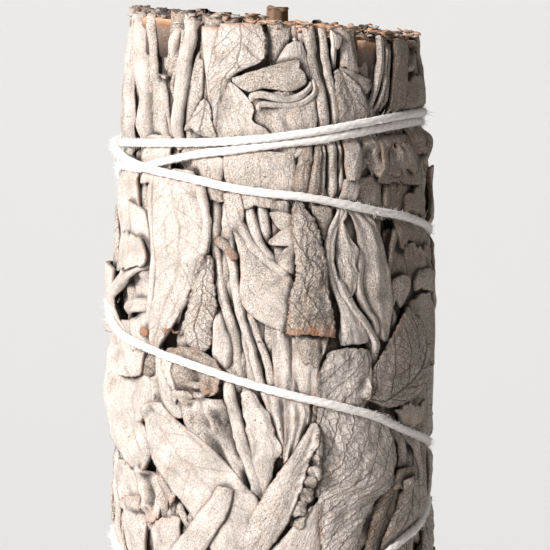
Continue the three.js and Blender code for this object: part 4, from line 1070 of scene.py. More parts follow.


# %% [markdown]
# ## From grids to meshes
# Each piece gathers the leaves of one node. Four numbers ride on every point for the materials:
# how dark a line of painted shade runs there along a crease or margin, how dry and brown it is,
# how much painted shade it gets from lying deep in a crevice, and its tone.

# %% Mesh making
class Piece:
    def __init__(self):
        self.points, self.looks, self.owns, self.quads, self.count = [], [], [], [], 0

    def add(self, points, looks, quads, own=None):
        self.points.append(points)
        self.looks.append(looks)
        self.owns.append(np.zeros((len(points), 3)) if own is None else own)
        self.quads.append(quads + self.count)
        self.count += len(points)

    def build(self, name, slot, nodes, material):
        points = np.concatenate(self.points).astype(np.float32) / 1000
        quads = np.concatenate(self.quads).astype(np.int32)
        mesh = bpy.data.meshes.new(name)
        mesh.vertices.add(len(points))
        mesh.vertices.foreach_set("co", points.ravel())
        mesh.loops.add(quads.size)
        mesh.loops.foreach_set("vertex_index", quads.ravel())
        mesh.polygons.add(len(quads))
        mesh.polygons.foreach_set("loop_start", np.arange(0, quads.size, 4, dtype=np.int32))
        mesh.polygons.foreach_set("loop_total", np.full(len(quads), 4, np.int32))
        mesh.polygons.foreach_set("use_smooth", np.ones(len(quads), bool))
        look = mesh.color_attributes.new("look", "FLOAT_COLOR", "POINT")
        look.data.foreach_set("color", np.concatenate(self.looks).astype(np.float32).ravel())
        own = mesh.attributes.new("own", "FLOAT_VECTOR", "POINT")
        own.data.foreach_set("vector", np.concatenate(self.owns).astype(np.float32).ravel())
        mesh.update()
        mesh.validate()
        piece = bpy.data.objects.new(name, mesh)
        bpy.context.scene.collection.objects.link(piece)
        mesh.materials.append(material)
        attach(piece, "root")
        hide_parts(*nodes)
        return piece


pieces = {}


def piece_for(node):
    return pieces.setdefault(node, Piece())


def grid_quads(rows, columns):
    i = np.arange(rows * columns).reshape(rows, columns)
    return np.stack([i[:-1, :-1], i[:-1, 1:], i[1:, 1:], i[1:, :-1]], -1).reshape(-1, 4)


def wall_quads(rings, sides):
    """Joins closed rings of points, one above the other."""
    here = np.arange(sides)
    after = (here + 1) % sides
    walls = [
        np.stack([k + here, k + after, k + sides + after, k + sides + here], -1)
        for k in sides * np.arange(rings - 1)
    ]
    return np.concatenate(walls)


def rim_of(index):
    return np.concatenate([index[0, :-1], index[:-1, -1], index[-1, :0:-1], index[:0:-1, 0]])


def add_leaf(leaf):
    """A sheet with a front, a narrow edge and a strip of underside."""
    rows, columns = leaf.s.shape
    down = read_grid(pressed, leaf.s, leaf.z)
    # painted shade for lying deep between the leaves
    dark = crevice_shade(leaf.s, leaf.z, leaf.h)
    top = bend_round(leaf.s, leaf.z, leaf.h - down).reshape(-1, 3)
    look = np.stack([leaf.line, leaf.dry, dark, leaf.tone], -1).reshape(-1, 4)
    rim = rim_of(np.arange(rows * columns).reshape(rows, columns))
    inner_rows = np.clip(np.arange(rows), 1, rows - 2)
    inner_columns = np.clip(np.arange(columns), 1, columns - 2)
    inner = rim_of(inner_rows[:, None] * columns + inner_columns)
    s, z, h = leaf.s.ravel(), leaf.z.ravel(), (leaf.h - down).ravel()
    edge = bend_round(s[rim], z[rim], h[rim] - 0.75 * THICKNESS)
    under = bend_round(s[inner], z[inner], h[inner] - THICKNESS - 0.25)
    n = len(rim)
    ring = np.arange(n)
    after = (ring + 1) % n
    start = rows * columns
    skirt = np.stack([rim[ring], rim[after], start + after, start + ring], -1)[:, ::-1]
    below = np.stack([start + ring, start + after, start + n + after, start + n + ring], -1)
    quads = [grid_quads(rows, columns), skirt]
    if leaf.level >= HIDDEN_BELOW:
        quads.append(below[:, ::-1])
    points = np.concatenate([top, edge, under])
    # painted shade: the edge gets more crevice shade and the strip of underside more still, with a
    # browner tone
    looks = np.concatenate([look, look[rim] + [0, 0.1, 0.3, 0], look[inner] + [0, 0, 0.6, 0.2]])
    own = leaf.own.reshape(-1, 2)
    own = np.concatenate([own, own[rim], own[inner]])
    own = np.column_stack([own, np.full(len(own), leaf.vein)])
    piece_for(leaf.node).add(points, looks, np.concatenate(quads), own)


for leaf in leaves:
    add_leaf(leaf)
print("points on leaves:", sum(p.count for p in pieces.values()))

# %% [markdown]
# ## Wads
# Under its strips each sprig is a pressed wad, painted dark with shade. It only closes the deepest gaps.

# %% Wads of the ring sprigs
WAD_TOP = 3.2


def add_wad(k):
    width = CIRCUIT / RING_SPRIGS
    start = math.radians(RING_START) * ROUND + k * width
    s, z = np.meshgrid(np.linspace(start, start + width, 14), np.linspace(0.6, LENGTH - WAD_TOP, 60))
    h = CORE + 0.25 * noise(s / 0.9, z / 2.0, 900 + k) - read_grid(pressed, s, z)
    points = bend_round(s, z, h).reshape(-1, 3)
    # painted shade: nearly full crevice shade, on a brown tone
    look = np.tile([0.0, 0.3, 0.95, 0.8], (len(points), 1))
    piece_for(f"sprig_ring_{k + 1}").add(points, look, grid_quads(*s.shape))


for k in range(RING_SPRIGS):
    add_wad(k)

# %% [markdown]
# ## Cut ends
# On both ends the sprigs were cut across, so each shows as curved slips on edge, packed like
# the layers of an onion, with the brown woody stems between them. A slip is a thin upright
# ribbon. It stands on the wad's dark floor and ends at the cut.

# %% Slips on the cut ends
HEART_RADIUS = 8.4
HEART_SPRIGS = 3
HEART_START = 30.0
SLIP_THICK = 0.34
SLIPS_FROM, SLIPS_TO = 2.9, 16.4  # radii of the innermost and outermost slips


def sprig_in(x, y):
    angle = math.atan2(x, -y)
    if math.hypot(x, y) > HEART_RADIUS:
        return sprig_at(angle * ROUND)
    turn = (math.degrees(angle) - HEART_START) % 360
    return f"sprig_heart_{int(turn // (360 / HEART_SPRIGS)) + 1}"


def cut_plane(x, y, upper):
    if not upper:
        return 0.0 * x
    rim = 0.7 * ease((np.hypot(x, y) - 12.0) / 3.0)
    return LENGTH + 0.25 - rim - CUT_SLOPE * x + 0.3 * noise(x / 1.2, y / 1.2, 61)


def add_slip(radius, middle, arc, upper, seed):
    n = max(int(arc / 0.7), 4)
    along = np.linspace(-0.5, 0.5, n) * arc
    angle = middle + along / radius
    wobble = 0.5 * noise(along / 1.5, 0.0, seed) + 0.25 * noise(along / 0.5, 0.0, seed + 1)
    loop = []
    for side in (-0.5, 0.5):
        r = radius + wobble + side * SLIP_THICK
        loop.append(np.stack([r * np.sin(angle), -r * np.cos(angle)], -1))
    outline = np.concatenate([loop[0], loop[1][::-1]])
    x, y = outline[:, 0], outline[:, 1]
    lift = 0.35 * lattice(np.int64(seed), np.int64(3), 8)
    end = cut_plane(x, y, upper) + (lift if upper else abs(lift))
    shares = (1.0, 0.25, 0.06, 0.0)
    depth = 4.4 if upper else -2.8
    rings = [np.stack([x, y, end - depth * share], -1) for share in shares]
    points = np.concatenate(rings)
    m = len(outline)
    last = (len(shares) - 1) * m
    i = np.arange(n - 1)
    cap = np.stack([last + i, last + i + 1, last + m - 2 - i, last + m - 1 - i], -1)
    tone = 0.5 + 0.4 * lattice(np.int64(seed), np.int64(4), 8)
    look = np.zeros((len(points), 4))
    look[:, 1] = np.repeat([0.5, 0.6, 1.7, 2.0], m)
    # painted shade: each slip is darker further down between its neighbours
    look[:, 2] = np.repeat([0.9, 0.45, 0.1, 0.0], m)
    look[:, 3] = tone
    place = radius * math.sin(middle), -radius * math.cos(middle)
    piece_for(sprig_in(*place)).add(points, look, np.concatenate([wall_quads(len(shares), m), cap]))


def fill_end(upper):
    count = 0
    radius = SLIPS_FROM
    while radius < SLIPS_TO:
        angle = random.uniform(0, 1)
        while angle < 2 * math.pi:
            arc = min(random.uniform(2.5, 8.0), radius * 2.5)
            if random.random() > 0.12:
                add_slip(radius + random.uniform(-0.2, 0.2), angle, arc, upper, 3000 + count)
                count += 1
            angle += (arc + random.uniform(0.1, 0.9)) / radius
        radius += random.uniform(0.62, 0.82)
    return count


print("slips:", fill_end(True), fill_end(False))

# %% [markdown]
# Where the leaves were cut they broke, too: brown crumbs of leaf lie on the upper end and hang
# on its rim. Each is a small curled flake with a front, a back and an edge.

# %% Crumbs
FLAKE_GRID = (6, 4)
CRUMBS_ON_END = 300
CRUMBS_ON_RIM = 110
BARE_LEFT_OF = -6.0  # few crumbs lie further left than this


def add_flake(centre, long, wide, seed):
    rng = np.random.default_rng(seed)
    u, v = np.meshgrid(*(np.linspace(-1, 1, count) for count in FLAKE_GRID), indexing="ij")
    curl = rng.uniform(-0.3, 0.25) * u**2 + rng.uniform(-0.2, 0.2) * v**2
    width = wide * (1 - 0.35 * u**2) * (1 + 0.15 * rng.normal(0, 1, (len(u), 1)))
    ragged = u * long + 0.06 * long * rng.normal(0, 1, FLAKE_GRID)
    shape = np.stack([ragged, v * width, curl * long], -1) / 2
    lean, turn = rng.normal(0, 0.14), rng.uniform(0, 2 * math.pi)
    c, s = math.cos(lean), math.sin(lean)
    shape = shape @ np.array([[c, 0, -s], [0, 1, 0], [s, 0, c]])
    c, s = math.cos(turn), math.sin(turn)
    shape = shape @ np.array([[c, -s, 0], [s, c, 0], [0, 0, 1]]).T
    face = shape.reshape(-1, 3) + centre
    back = face + np.array([0.04, 0.04, -0.13])
    rim = rim_of(np.arange(u.size).reshape(FLAKE_GRID))
    after = np.roll(rim, -1)
    front = grid_quads(*FLAKE_GRID)
    edge = np.stack([rim, after, after + u.size, rim + u.size], -1)
    quads = np.concatenate([front, front[:, ::-1] + u.size, edge[:, ::-1]])
    cut_share = 0.1 + 0.75 * ease((centre[0] + 9) / 8)
    dry = rng.choice([1.5, 2.0, 2.4]) if rng.random() < cut_share else 0.0
    look = np.tile([0.0, dry, 0.1 * rng.random(), 0.4 * rng.random()], (2 * u.size, 1))
    piece_for(sprig_in(*centre[:2])).add(np.concatenate([face, back]), look, quads)


for number in range(CRUMBS_ON_END):
    angle = random.uniform(0, 2 * math.pi)
    radius = 16.2 * math.sqrt(random.uniform(0.02 if number % 3 else 0.8, 0.95))
    place = np.array([radius * math.sin(angle), -radius * math.cos(angle), 0.0])
    place[2] = cut_plane(place[0], place[1], True) + random.uniform(-0.35, 0.3)
    if place[0] > BARE_LEFT_OF or number % 4 == 0:
        add_flake(place, random.uniform(0.8, 2.8), random.uniform(0.4, 1.3), 7000 + number)
for number in range(CRUMBS_ON_RIM):
    angle, size = random.uniform(0, 2 * math.pi), random.uniform(0.25, 0.7)
    place = bend_round(angle * ROUND, cut_height(angle * ROUND) + 0.1, random.uniform(-1.6, -0.5))
    if place[0] > BARE_LEFT_OF or number % 3 == 0:
        add_flake(place, 2.4 * size, 1.3 * size, 8000 + number)
for number, (x, y) in enumerate(((-1.4, 0.3), (-2.2, -0.6), (-3.3, 0.2), (-2.6, 1.2))):
    place = np.array([x, y, LENGTH + 1.15 - 0.25 * number])
    add_flake(place, 2.6, 1.4, 9000 + number)
print("points on leaves, slips and crumbs:", sum(p.count for p in pieces.values()))

# %% [markdown]
# A floor of pressed leaf, painted dark with shade, closes the gaps between the slips, a few
# millimetres below the cut.

# %% Floors below the slips
FLOOR_RADIUS = 15.6
UPPER_FLOOR, LOWER_FLOOR = LENGTH - 3.4, 1.9  # heights


def add_floor(upper):
    for k in range(RING_SPRIGS + HEART_SPRIGS):
        ring = k < RING_SPRIGS
        share = 360 / (RING_SPRIGS if ring else HEART_SPRIGS)
        begin = RING_START + k * share if ring else HEART_START + (k - RING_SPRIGS) * share
        low, high = (HEART_RADIUS, FLOOR_RADIUS) if ring else (0.4, HEART_RADIUS)
        a, r = np.meshgrid(np.radians(np.linspace(begin, begin + share, 14)), np.linspace(low, high, 8))
        x, y = r * np.sin(a), -r * np.cos(a)
        base = UPPER_FLOOR if upper else LOWER_FLOOR
        z = base + 0.5 * noise(x / 0.8, y / 0.8, 71)
        points = np.stack([x, y, z], -1).reshape(-1, 3)
        # painted shade: most of the crevice shade, on a brown tone
        look = np.tile([0.0, 0.5, 0.85, 0.9], (len(points), 1))
        name = f"sprig_ring_{k + 1}" if ring else f"sprig_heart_{k - RING_SPRIGS + 1}"
        piece_for(name).add(points, look, grid_quads(*x.shape))


add_floor(True)
add_floor(False)

# %% [markdown]
# ## Leaf material
# Sage leaves are covered in a short grey-white felt. It scatters light softly, so the shader is
# rough with a little sheen. Felt wears off along veins and dry edges, which are browner. Fine
# grit and fibres are bump and colour noise, at a fifth of a millimetre and below.

# %% Node helpers
def new_material(name):
    material = bpy.data.materials.new(name)
    material.use_nodes = True
    tree = material.node_tree
    return material, tree, tree.nodes["Principled BSDF"]


def add_noise(tree, scale, detail=4.0, stretch=(1, 1, 1), roughness=0.6, place=None):
    mapping = tree.nodes.new("ShaderNodeMapping")
    mapping.inputs["Scale"].default_value = stretch
    place = place or tree.nodes.new("ShaderNodeTexCoord").outputs["Object"]
    tree.links.new(place, mapping.inputs["Vector"])
    texture = tree.nodes.new("ShaderNodeTexNoise")
    texture.inputs["Scale"].default_value = scale
    texture.inputs["Detail"].default_value = detail
    texture.inputs["Roughness"].default_value = roughness
    tree.links.new(mapping.outputs["Vector"], texture.inputs["Vector"])
    return texture.outputs["Fac"]


def look_of(tree):
    """The four numbers of each point: painted shade lines of creases and margins, dryness, painted
    crevice shade and tone.
    """
    look = tree.nodes.new("ShaderNodeAttribute")
    look.attribute_name = "look"
    parts = tree.nodes.new("ShaderNodeSeparateColor")
    tree.links.new(look.outputs["Color"], parts.inputs["Color"])
    return *(parts.outputs[c] for c in ("Red", "Green", "Blue")), look.outputs["Alpha"]


def between(tree, value, low, high, to_low=0.0, to_high=1.0):
    node = tree.nodes.new("ShaderNodeMapRange")
    node.inputs["From Min"].default_value = low
    node.inputs["From Max"].default_value = high
    node.inputs["To Min"].default_value = to_low
    node.inputs["To Max"].default_value = to_high
    tree.links.new(value, node.inputs["Value"])
    return node.outputs["Result"]


def times(tree, a, b):
    node = tree.nodes.new("ShaderNodeMath")
    node.operation = "MULTIPLY"
    node.use_clamp = True
    tree.links.new(a, node.inputs[0])
    if isinstance(b, float):
        node.inputs[1].default_value = b
    else:
        tree.links.new(b, node.inputs[1])
    return node.outputs[0]


def blend(tree, amount, colour, other, kind="MIX"):
    node = tree.nodes.new("ShaderNodeMix")
    node.data_type = "RGBA"
    node.blend_type = kind
    tree.links.new(amount, node.inputs["Factor"])
    for value, socket in ((colour, node.inputs["A"]), (other, node.inputs["B"])):
        if isinstance(value, tuple):
            socket.default_value = (*value, 1.0)
        else:
            tree.links.new(value, socket)
    return node.outputs["Result"]


def add_bump(tree, height, distance, strength=1.0, normal=None):
    bump = tree.nodes.new("ShaderNodeBump")
    bump.inputs["Distance"].default_value = distance
    bump.inputs["Strength"].default_value = strength
    tree.links.new(height, bump.inputs["Height"])
    if normal:
        tree.links.new(normal, bump.inputs["Normal"])
    return bump.outputs["Normal"]


# %% [markdown]
# A leaf's midrib, slanting side veins and the net between them are dark lines a tenth of a
# millimetre thin. Each point carries its place on its own leaf, so the material can draw them
# along the leaf. The net is a Voronoi pattern, whose cells also bulge.

# %% Veins in the material
def calculate(tree, operation, a, b=0.0, c=0.0):
    node = tree.nodes.new("ShaderNodeMath")
    node.operation = operation
    for value, socket in zip((a, b, c), node.inputs):
        if isinstance(value, float):
            socket.default_value = value
        else:
            tree.links.new(value, socket)
    return node.outputs[0]


def wandered(tree, place, scale, far):
    """The same place, moved a little this way and that, so that lines don't run straight."""
    wander = tree.nodes.new("ShaderNodeTexNoise")
    wander.inputs["Scale"].default_value = scale
    wander.inputs["Detail"].default_value = 3.0
    tree.links.new(place, wander.inputs["Vector"])
    moved = tree.nodes.new("ShaderNodeVectorMath")
    moved.operation = "MULTIPLY_ADD"
    moved.inputs[1].default_value = (far, far, 0.0)
    tree.links.new(wander.outputs["Color"], moved.inputs[0])
    tree.links.new(place, moved.inputs[2])
    return moved.outputs["Vector"]


def vein_lines(tree, own):
    """Lines of all veins, the bulge of the cells, and how strongly this leaf shows them."""
    fine = wandered(tree, own, 1.1, 0.28)
    net = tree.nodes.new("ShaderNodeTexVoronoi")
    net.voronoi_dimensions = "2D"
    net.feature = "DISTANCE_TO_EDGE"
    net.inputs["Scale"].default_value = 1.15
    tree.links.new(fine, net.inputs["Vector"])
    parts = tree.nodes.new("ShaderNodeSeparateXYZ")
    tree.links.new(wandered(tree, wandered(tree, own, 0.3, 1.2), 1.0, 0.22), parts.inputs["Vector"])
    off_rib = calculate(tree, "ABSOLUTE", calculate(tree, "SUBTRACT", parts.outputs["X"], 0.8))
    slant = calculate(tree, "MULTIPLY_ADD", off_rib, -SIDE_VEIN_SLANT, parts.outputs["Y"])
    off_side = calculate(tree, "PINGPONG", slant, SIDE_VEIN_APART / 2)
    lines = between(tree, net.outputs["Distance"], 0.07, 0.02, 0.0, 0.66)
    lines = calculate(tree, "MAXIMUM", lines, between(tree, off_side, 0.12, 0.06))
    lines = calculate(tree, "MAXIMUM", lines, between(tree, off_rib, 0.2, 0.09))
    cells = between(tree, net.outputs["Distance"], 0.0, 0.2)
    cells = calculate(tree, "MULTIPLY", cells, between(tree, off_side, 0.0, 0.2))
    amount = tree.nodes.new("ShaderNodeSeparateXYZ")
    tree.links.new(own, amount.inputs["Vector"])
    return lines, cells, amount.outputs["Z"]


# %% [markdown]
# The felt's colours go from pale to brown by each leaf's tone. Veins, dark lines of painted shade
# along creases and margins, dry edges, cut ends and painted shade in the crevices are laid over
# it in turn, from the numbers that ride on the points.

# %% Leaf felt
FELT_PALE = (0.62, 0.55, 0.495)
FELT_GREY = (0.4, 0.362, 0.322)
FELT_BROWN = (0.2, 0.155, 0.112)
VEIN_BROWN = (0.055, 0.04, 0.03)
DRY_ORANGE = (0.33, 0.15, 0.07)
CUT_CREAM = (0.72, 0.5, 0.34)
CUT_BROWN = (0.36, 0.17, 0.08)
# painted shade between the leaves
CREVICE_SHADE = (0.035, 0.024, 0.018)
GRIT = (0.13, 0.1, 0.08)


def leaf_material(name, browner=0.0):
    material, tree, shader = new_material(name)
    crease, dry, deep, tone = look_of(tree)
    tone = between(tree, tone, 0.0, 1.0, browner, 1.0)
    patches = add_noise(tree, 330, 4)
    colour = blend(tree, between(tree, patches, 0.38, 0.66), FELT_PALE, FELT_GREY)
    colour = blend(tree, between(tree, tone, 0.25, 1.05), colour, FELT_BROWN)
    warm = add_noise(tree, 700, 4)
    colour = blend(tree, between(tree, warm, 0.52, 0.75, 0.0, 0.5), colour, (0.5, 0.36, 0.25))
    grain = add_noise(tree, 6200, 2, roughness=0.8)
    strong = between(tree, tone, 0.0, 0.5, 0.4, 1.0)
    light = between(tree, grain, 0.48, 0.34, 0.0, 0.6)
    light = times(tree, light, between(tree, tone, 0.6, 1.0, 1.0, 0.6))
    dark = between(tree, grain, 0.52, 0.66, 0.0, 0.95)
    colour = blend(tree, times(tree, light, strong), colour, (0.84, 0.79, 0.74))
    colour = blend(tree, times(tree, dark, strong), colour, GRIT)
    specks = between(tree, add_noise(tree, 1900, 2), 0.69, 0.73, 0.0, 0.75)
    colour = blend(tree, specks, colour, VEIN_BROWN)
    own = tree.nodes.new("ShaderNodeAttribute")
    own.attribute_name = "own"
    lines, cells, amount = vein_lines(tree, own.outputs["Vector"])
    colour = blend(tree, times(tree, times(tree, lines, amount), 0.8), colour, VEIN_BROWN)
    # painted shade: dark lines along creases and margins
    colour = blend(tree, times(tree, crease, 0.7), colour, VEIN_BROWN)
    rust = between(tree, add_noise(tree, 1500, 4), 0.3, 0.6, 0.25, 1.0)
    colour = blend(tree, times(tree, dry, rust), colour, DRY_ORANGE)
    cut = blend(tree, between(tree, add_noise(tree, 900, 4), 0.38, 0.62), CUT_CREAM, CUT_BROWN)
    colour = blend(tree, between(tree, dry, 1.0, 2.0), colour, cut)
    # painted shade in the crevices, stronger on browner leaves
    crevice_shade_amount = times(tree, between(tree, deep, 0.05, 0.85), between(tree, tone, 0.1, 0.45, 0.72, 0.96))
    colour = blend(tree, crevice_shade_amount, colour, CREVICE_SHADE)
    tree.links.new(colour, shader.inputs["Base Color"])
    shader.inputs["Roughness"].default_value = 0.85
    shader.inputs["Specular IOR Level"].default_value = 0.25
    shader.inputs["Sheen Weight"].default_value = 0.15
    shader.inputs["Sheen Roughness"].default_value = 0.55
    wrinkles = add_noise(tree, 1.0, 3, stretch=(1.1, 0.3, 1.0), place=own.outputs["Vector"])
    fibres = add_noise(tree, 2600, 3)
    normal = add_bump(tree, wrinkles, 0.0004, 0.7)
    normal = add_bump(tree, times(tree, cells, amount), 0.00005, 1.0, normal)
    normal = add_bump(tree, fibres, 0.00014, 0.7, normal)
    normal = add_bump(tree, grain, 0.00007, 0.8, normal)
    tree.links.new(normal, shader.inputs["Normal"])
    return material


leaf_felt = leaf_material("sage felt")
brown_felt = leaf_material("brown sage felt", 0.35)

# %% [markdown]
# Now each node's leaves become one object, which takes the place of that node.

# %% Leaf pieces
BROWN_NODES = ("leaf_brown_wad", "leaf_rough_centre")
for node, piece in sorted(pieces.items()):
    brown = node in BROWN_NODES
    made = piece.build(
        f"{node}_leaves" if node.startswith("sprig") else f"{node}_sheet",
        "leaf_brown" if brown else "leaf", [node], brown_felt if brown else leaf_felt,
    )
    print(made.name, len(made.data.polygons))

# %% [markdown]
# ## Stems
# The sprigs' woody stems show only as round brown ends with pale pith. Each is a bark tube with
# ridges and a cut face at either end, a little domed.

# %% Stems
def bark_material():
    material, tree, shader = new_material("stem bark")
    pith, sawn, _, _ = look_of(tree)
    streaks = add_noise(tree, 900, 5, stretch=(1, 1, 0.12))
    bark = blend(tree, between(tree, streaks, 0.3, 0.7), (0.11, 0.065, 0.04), (0.28, 0.175, 0.11))
    wood = blend(tree, between(tree, add_noise(tree, 1700, 5), 0.3, 0.7), (0.5, 0.3, 0.15),
                 (0.68, 0.46, 0.27))
    colour = blend(tree, sawn, bark, wood)
    colour = blend(tree, pith, colour, (0.72, 0.58, 0.42))
    tree.links.new(colour, shader.inputs["Base Color"])
    shader.inputs["Roughness"].default_value = 0.9
    tree.links.new(add_bump(tree, streaks, 0.0003, 0.8), shader.inputs["Normal"])
    return material


bark = bark_material()


STEM_SIDES = 40
CUT_FACE = 0.95  # times the stem's radius
TALL_LEAN = 2.6  # how far the one stem that stands above the cut leans to the right
around = np.linspace(0, 2 * math.pi, STEM_SIDES + 1)[:-1]


def stem_ring(x, y, z, radius):
    return np.stack([x + radius * np.cos(around), y + radius * np.sin(around), z + 0 * around], -1)


def bark_rings(centre, radius, heights, tall, seed):
    rings = []
    for z in heights:
        middle = centre[0] + TALL_LEAN * tall * ease((z - 70.0) / 33.0)
        rough = 0.22 * tall * ease(z - LENGTH)
        frays = noise(np.cos(around) * 2.2, np.sin(around) * 2.2 + z, 5)
        ridges = 0.93 + 0.05 * noise(np.cos(around) * 3 + 9, np.sin(around) * 3 + z / 9, seed)
        r = radius * (1 - rough) * (1 + rough * frays) * ridges
        rings.append(stem_ring(middle, centre[1], z, r))
    if tall:
        lump = 1.0 + 0.3 * noise(np.cos(around) * 1.3 + 5, np.sin(around) * 1.3, seed + 2)
        rings[-1] = rings[-1] - np.outer(lump - 0.75, [0, 0, 1.0])
    return rings


def make_stem(node):
    low, high = (1000 * np.array(corner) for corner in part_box(node))
    centre, radius = (low + high) / 2, (high[0] - low[0]) / 2
    seed = sum(ord(letter) for letter in node)
    tall = high[2] > LENGTH + 1
    between_ends = np.linspace(low[2] + 0.1, high[2] - 0.4, 14)
    heights = np.concatenate([[low[2] + 0.02], between_ends, [high[2] - 0.1]])
    rings = bark_rings(centre, radius, heights, tall, seed)
    looks = [np.zeros((STEM_SIDES, 4))] * len(rings)
    top_x = centre[0] + TALL_LEAN * tall
    for share in (0.86, 0.6, 0.36, 0.16, 0.02):
        uneven = 0.5 * noise(np.cos(around) * 1.6, np.sin(around) * 1.6 + share * 3, seed + 1)
        z = high[2] - 0.45 * tall - 0.16 + np.minimum(uneven, 0.1) * share
        rings.append(stem_ring(top_x, centre[1], z, radius * CUT_FACE * share))
        is_pith = share < 0.3 and not tall
        looks.append(np.tile([float(is_pith), 0.3 if tall else 1.0, 0, 0], (STEM_SIDES, 1)))
    piece = Piece()
    piece.add(np.concatenate(rings), np.concatenate(looks), wall_quads(len(rings), STEM_SIDES))
    shares = (1.0, 0.55, 0.25, 0.02)
    bottom = [stem_ring(centre[0], centre[1], low[2], radius * CUT_FACE * share) for share in shares]
    look = np.tile([0.0, 1.0, 0.0, 0.0], (len(shares) * STEM_SIDES, 1))
    look[2 * STEM_SIDES :, 0] = 1.0
    faces_down = wall_quads(len(shares), STEM_SIDES)[:, [1, 0, 3, 2]]
    piece.add(np.concatenate(bottom), look, faces_down)
    return piece.build(f"{node}_wood", "stem", [node], bark)


stem_nodes = [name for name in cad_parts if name.startswith("stem")]
for node in stem_nodes:
    make_stem(node)
print("stems:", len(stem_nodes))

# %% [markdown]
# ## String
# Cotton string of about a millimetre is three soft strands twisted together. One tube with three
# lobes that turn along it looks the same and stays one clean mesh. A nap of fine loose fibres
# stands off it, each a sliver of two triangles, which is why its outline looks soft.

# %% String shape
LOBES = 3
TWIST_EVERY = 3.6  # millimetres in which a strand goes once round
TUBE_SIDES = 15
FIBRES = 16000
END_FIBRES = 250  # on the knot and on each tail


def tube(centre, outward, radius):
    step = np.linalg.norm(np.diff(centre, axis=0), axis=1)
    far = np.concatenate([[0], np.cumsum(step)])
    even = np.arange(0, far[-1], 0.47)
    centre = np.stack([np.interp(even, far, centre[:, k]) for k in range(3)], -1)
    outward = np.stack([np.interp(even, far, outward[:, k]) for k in range(3)], -1)
    ahead = np.gradient(centre, axis=0)
    ahead /= np.linalg.norm(ahead, axis=1)[:, None]
    side = np.cross(ahead, outward)
    side /= np.linalg.norm(side, axis=1)[:, None]
    face = np.cross(side, ahead)
    a = np.linspace(0, 2 * math.pi, TUBE_SIDES + 1)[:-1]
    turn = a[None] - 2 * math.pi * even[:, None] / TWIST_EVERY
    lobe = 0.85 + 0.18 * np.abs(np.cos(LOBES / 2 * turn))
    r = radius * lobe * (1 + 0.1 * noise(even[:, None] / 0.9, a[None] * 1.5, 41))
    points = centre[:, None] + r[..., None] * (
        np.cos(a)[None, :, None] * side[:, None] + np.sin(a)[None, :, None] * face[:, None]
    )
    n = len(even)
    i = np.arange(n - 1)[:, None] * TUBE_SIDES
    j = np.arange(TUBE_SIDES)[None]
    k = (j + 1) % TUBE_SIDES
    quads = np.stack([i + j, i + TUBE_SIDES + j, i + TUBE_SIDES + k, i + k], -1).reshape(-1, 4)
    # painted shade in the grooves between the strands
    shade = np.zeros((n * TUBE_SIDES, 4))
    shade[:, 0] = (1 - np.abs(np.cos(LOBES / 2 * turn))).ravel() ** 2
    return points, quads, shade


def nap(points, count, seed):
    rng = np.random.default_rng(seed)
    rings, sides, _ = points.shape
    i, j = rng.integers(2, rings - 3, count), rng.integers(0, sides, count)
    root = points[i, j]
    middle = points[i].mean(axis=1)
    out = root - middle
    out /= np.linalg.norm(out, axis=1)[:, None]
    ahead = points[i + 2, j] - root
    ahead /= np.linalg.norm(ahead, axis=1)[:, None]
    lean = rng.normal(0, 0.8, (count, 1)) * ahead + rng.normal(0, 0.5, (count, 3))
    long = rng.uniform(0.2, 0.5, (count, 1)) + 0.5 * rng.random((count, 1)) ** 5
    tip = root + long * (0.65 * out + 0.6 * lean)
    wide = 0.02 * np.cross(out, ahead)
    corners = np.stack([root - wide, root + wide, tip + 0.4 * wide, tip - 0.4 * wide], 1)
    quads = np.array([[0, 1, 2, 3]])[None] + 4 * np.arange(count)[:, None, None]
    return corners.reshape(-1, 3), quads.reshape(-1, 4)


def string_line():
    radius = girth(string_z) + string_h + 0.62 * STRING_RADIUS
    angle = np.radians(turned)
    out = np.stack([np.sin(angle), -np.cos(angle), 0 * angle], -1)
    return out * radius[:, None] + np.array([0, 0, 1]) * string_z[:, None], out


# %% [markdown]
# The two ends are tied at the back in a small overhand knot, and both tails hang down from it.

# %% String and knot
def knot_line(at, out):
    across = np.cross([0, 0, 1], out)
    t = np.linspace(0, 2 * math.pi, 90)
    wind = np.stack([np.sin(t) + 2 * np.sin(2 * t), np.cos(t) - 2 * np.cos(2 * t), -np.sin(3 * t)], -1)
    line = at + 0.42 * wind[:, :1] * across + 0.36 * wind[:, 1:2] * np.array([0, 0, 1])
    return line + (0.75 + 0.5 * wind[:, 2:3]) * out


def tail_line(at, out, side):
    across = np.cross([0, 0, 1], out)
    t = np.linspace(0, 1, 24)[:, None]
    drop = np.array([0, 0, -1.0])
    return at + out * (0.9 - 0.5 * t) + side * across * (0.6 + 2.6 * t**0.8) + drop * 7.5 * t**1.3


def cotton_material():
    material, tree, shader = new_material("cotton string")
    groove_shade, _, _, _ = look_of(tree)
    threads = add_noise(tree, 3200, 4)
    colour = blend(tree, between(tree, threads, 0.3, 0.7), (0.78, 0.74, 0.7), (0.95, 0.92, 0.89))
    # painted shade in the grooves between the strands
    colour = blend(tree, times(tree, groove_shade, 0.5), colour, (0.5, 0.44, 0.4))
    tree.links.new(colour, shader.inputs["Base Color"])
    shader.inputs["Roughness"].default_value = 0.9
    shader.inputs["Specular IOR Level"].default_value = 0.2
    shader.inputs["Sheen Weight"].default_value = 0.5
    shader.inputs["Subsurface Weight"].default_value = 0.15
    shader.inputs["Subsurface Radius"].default_value = (0.0006, 0.0005, 0.0004)
    tree.links.new(add_bump(tree, threads, 0.00012, 0.6), shader.inputs["Normal"])
    return material


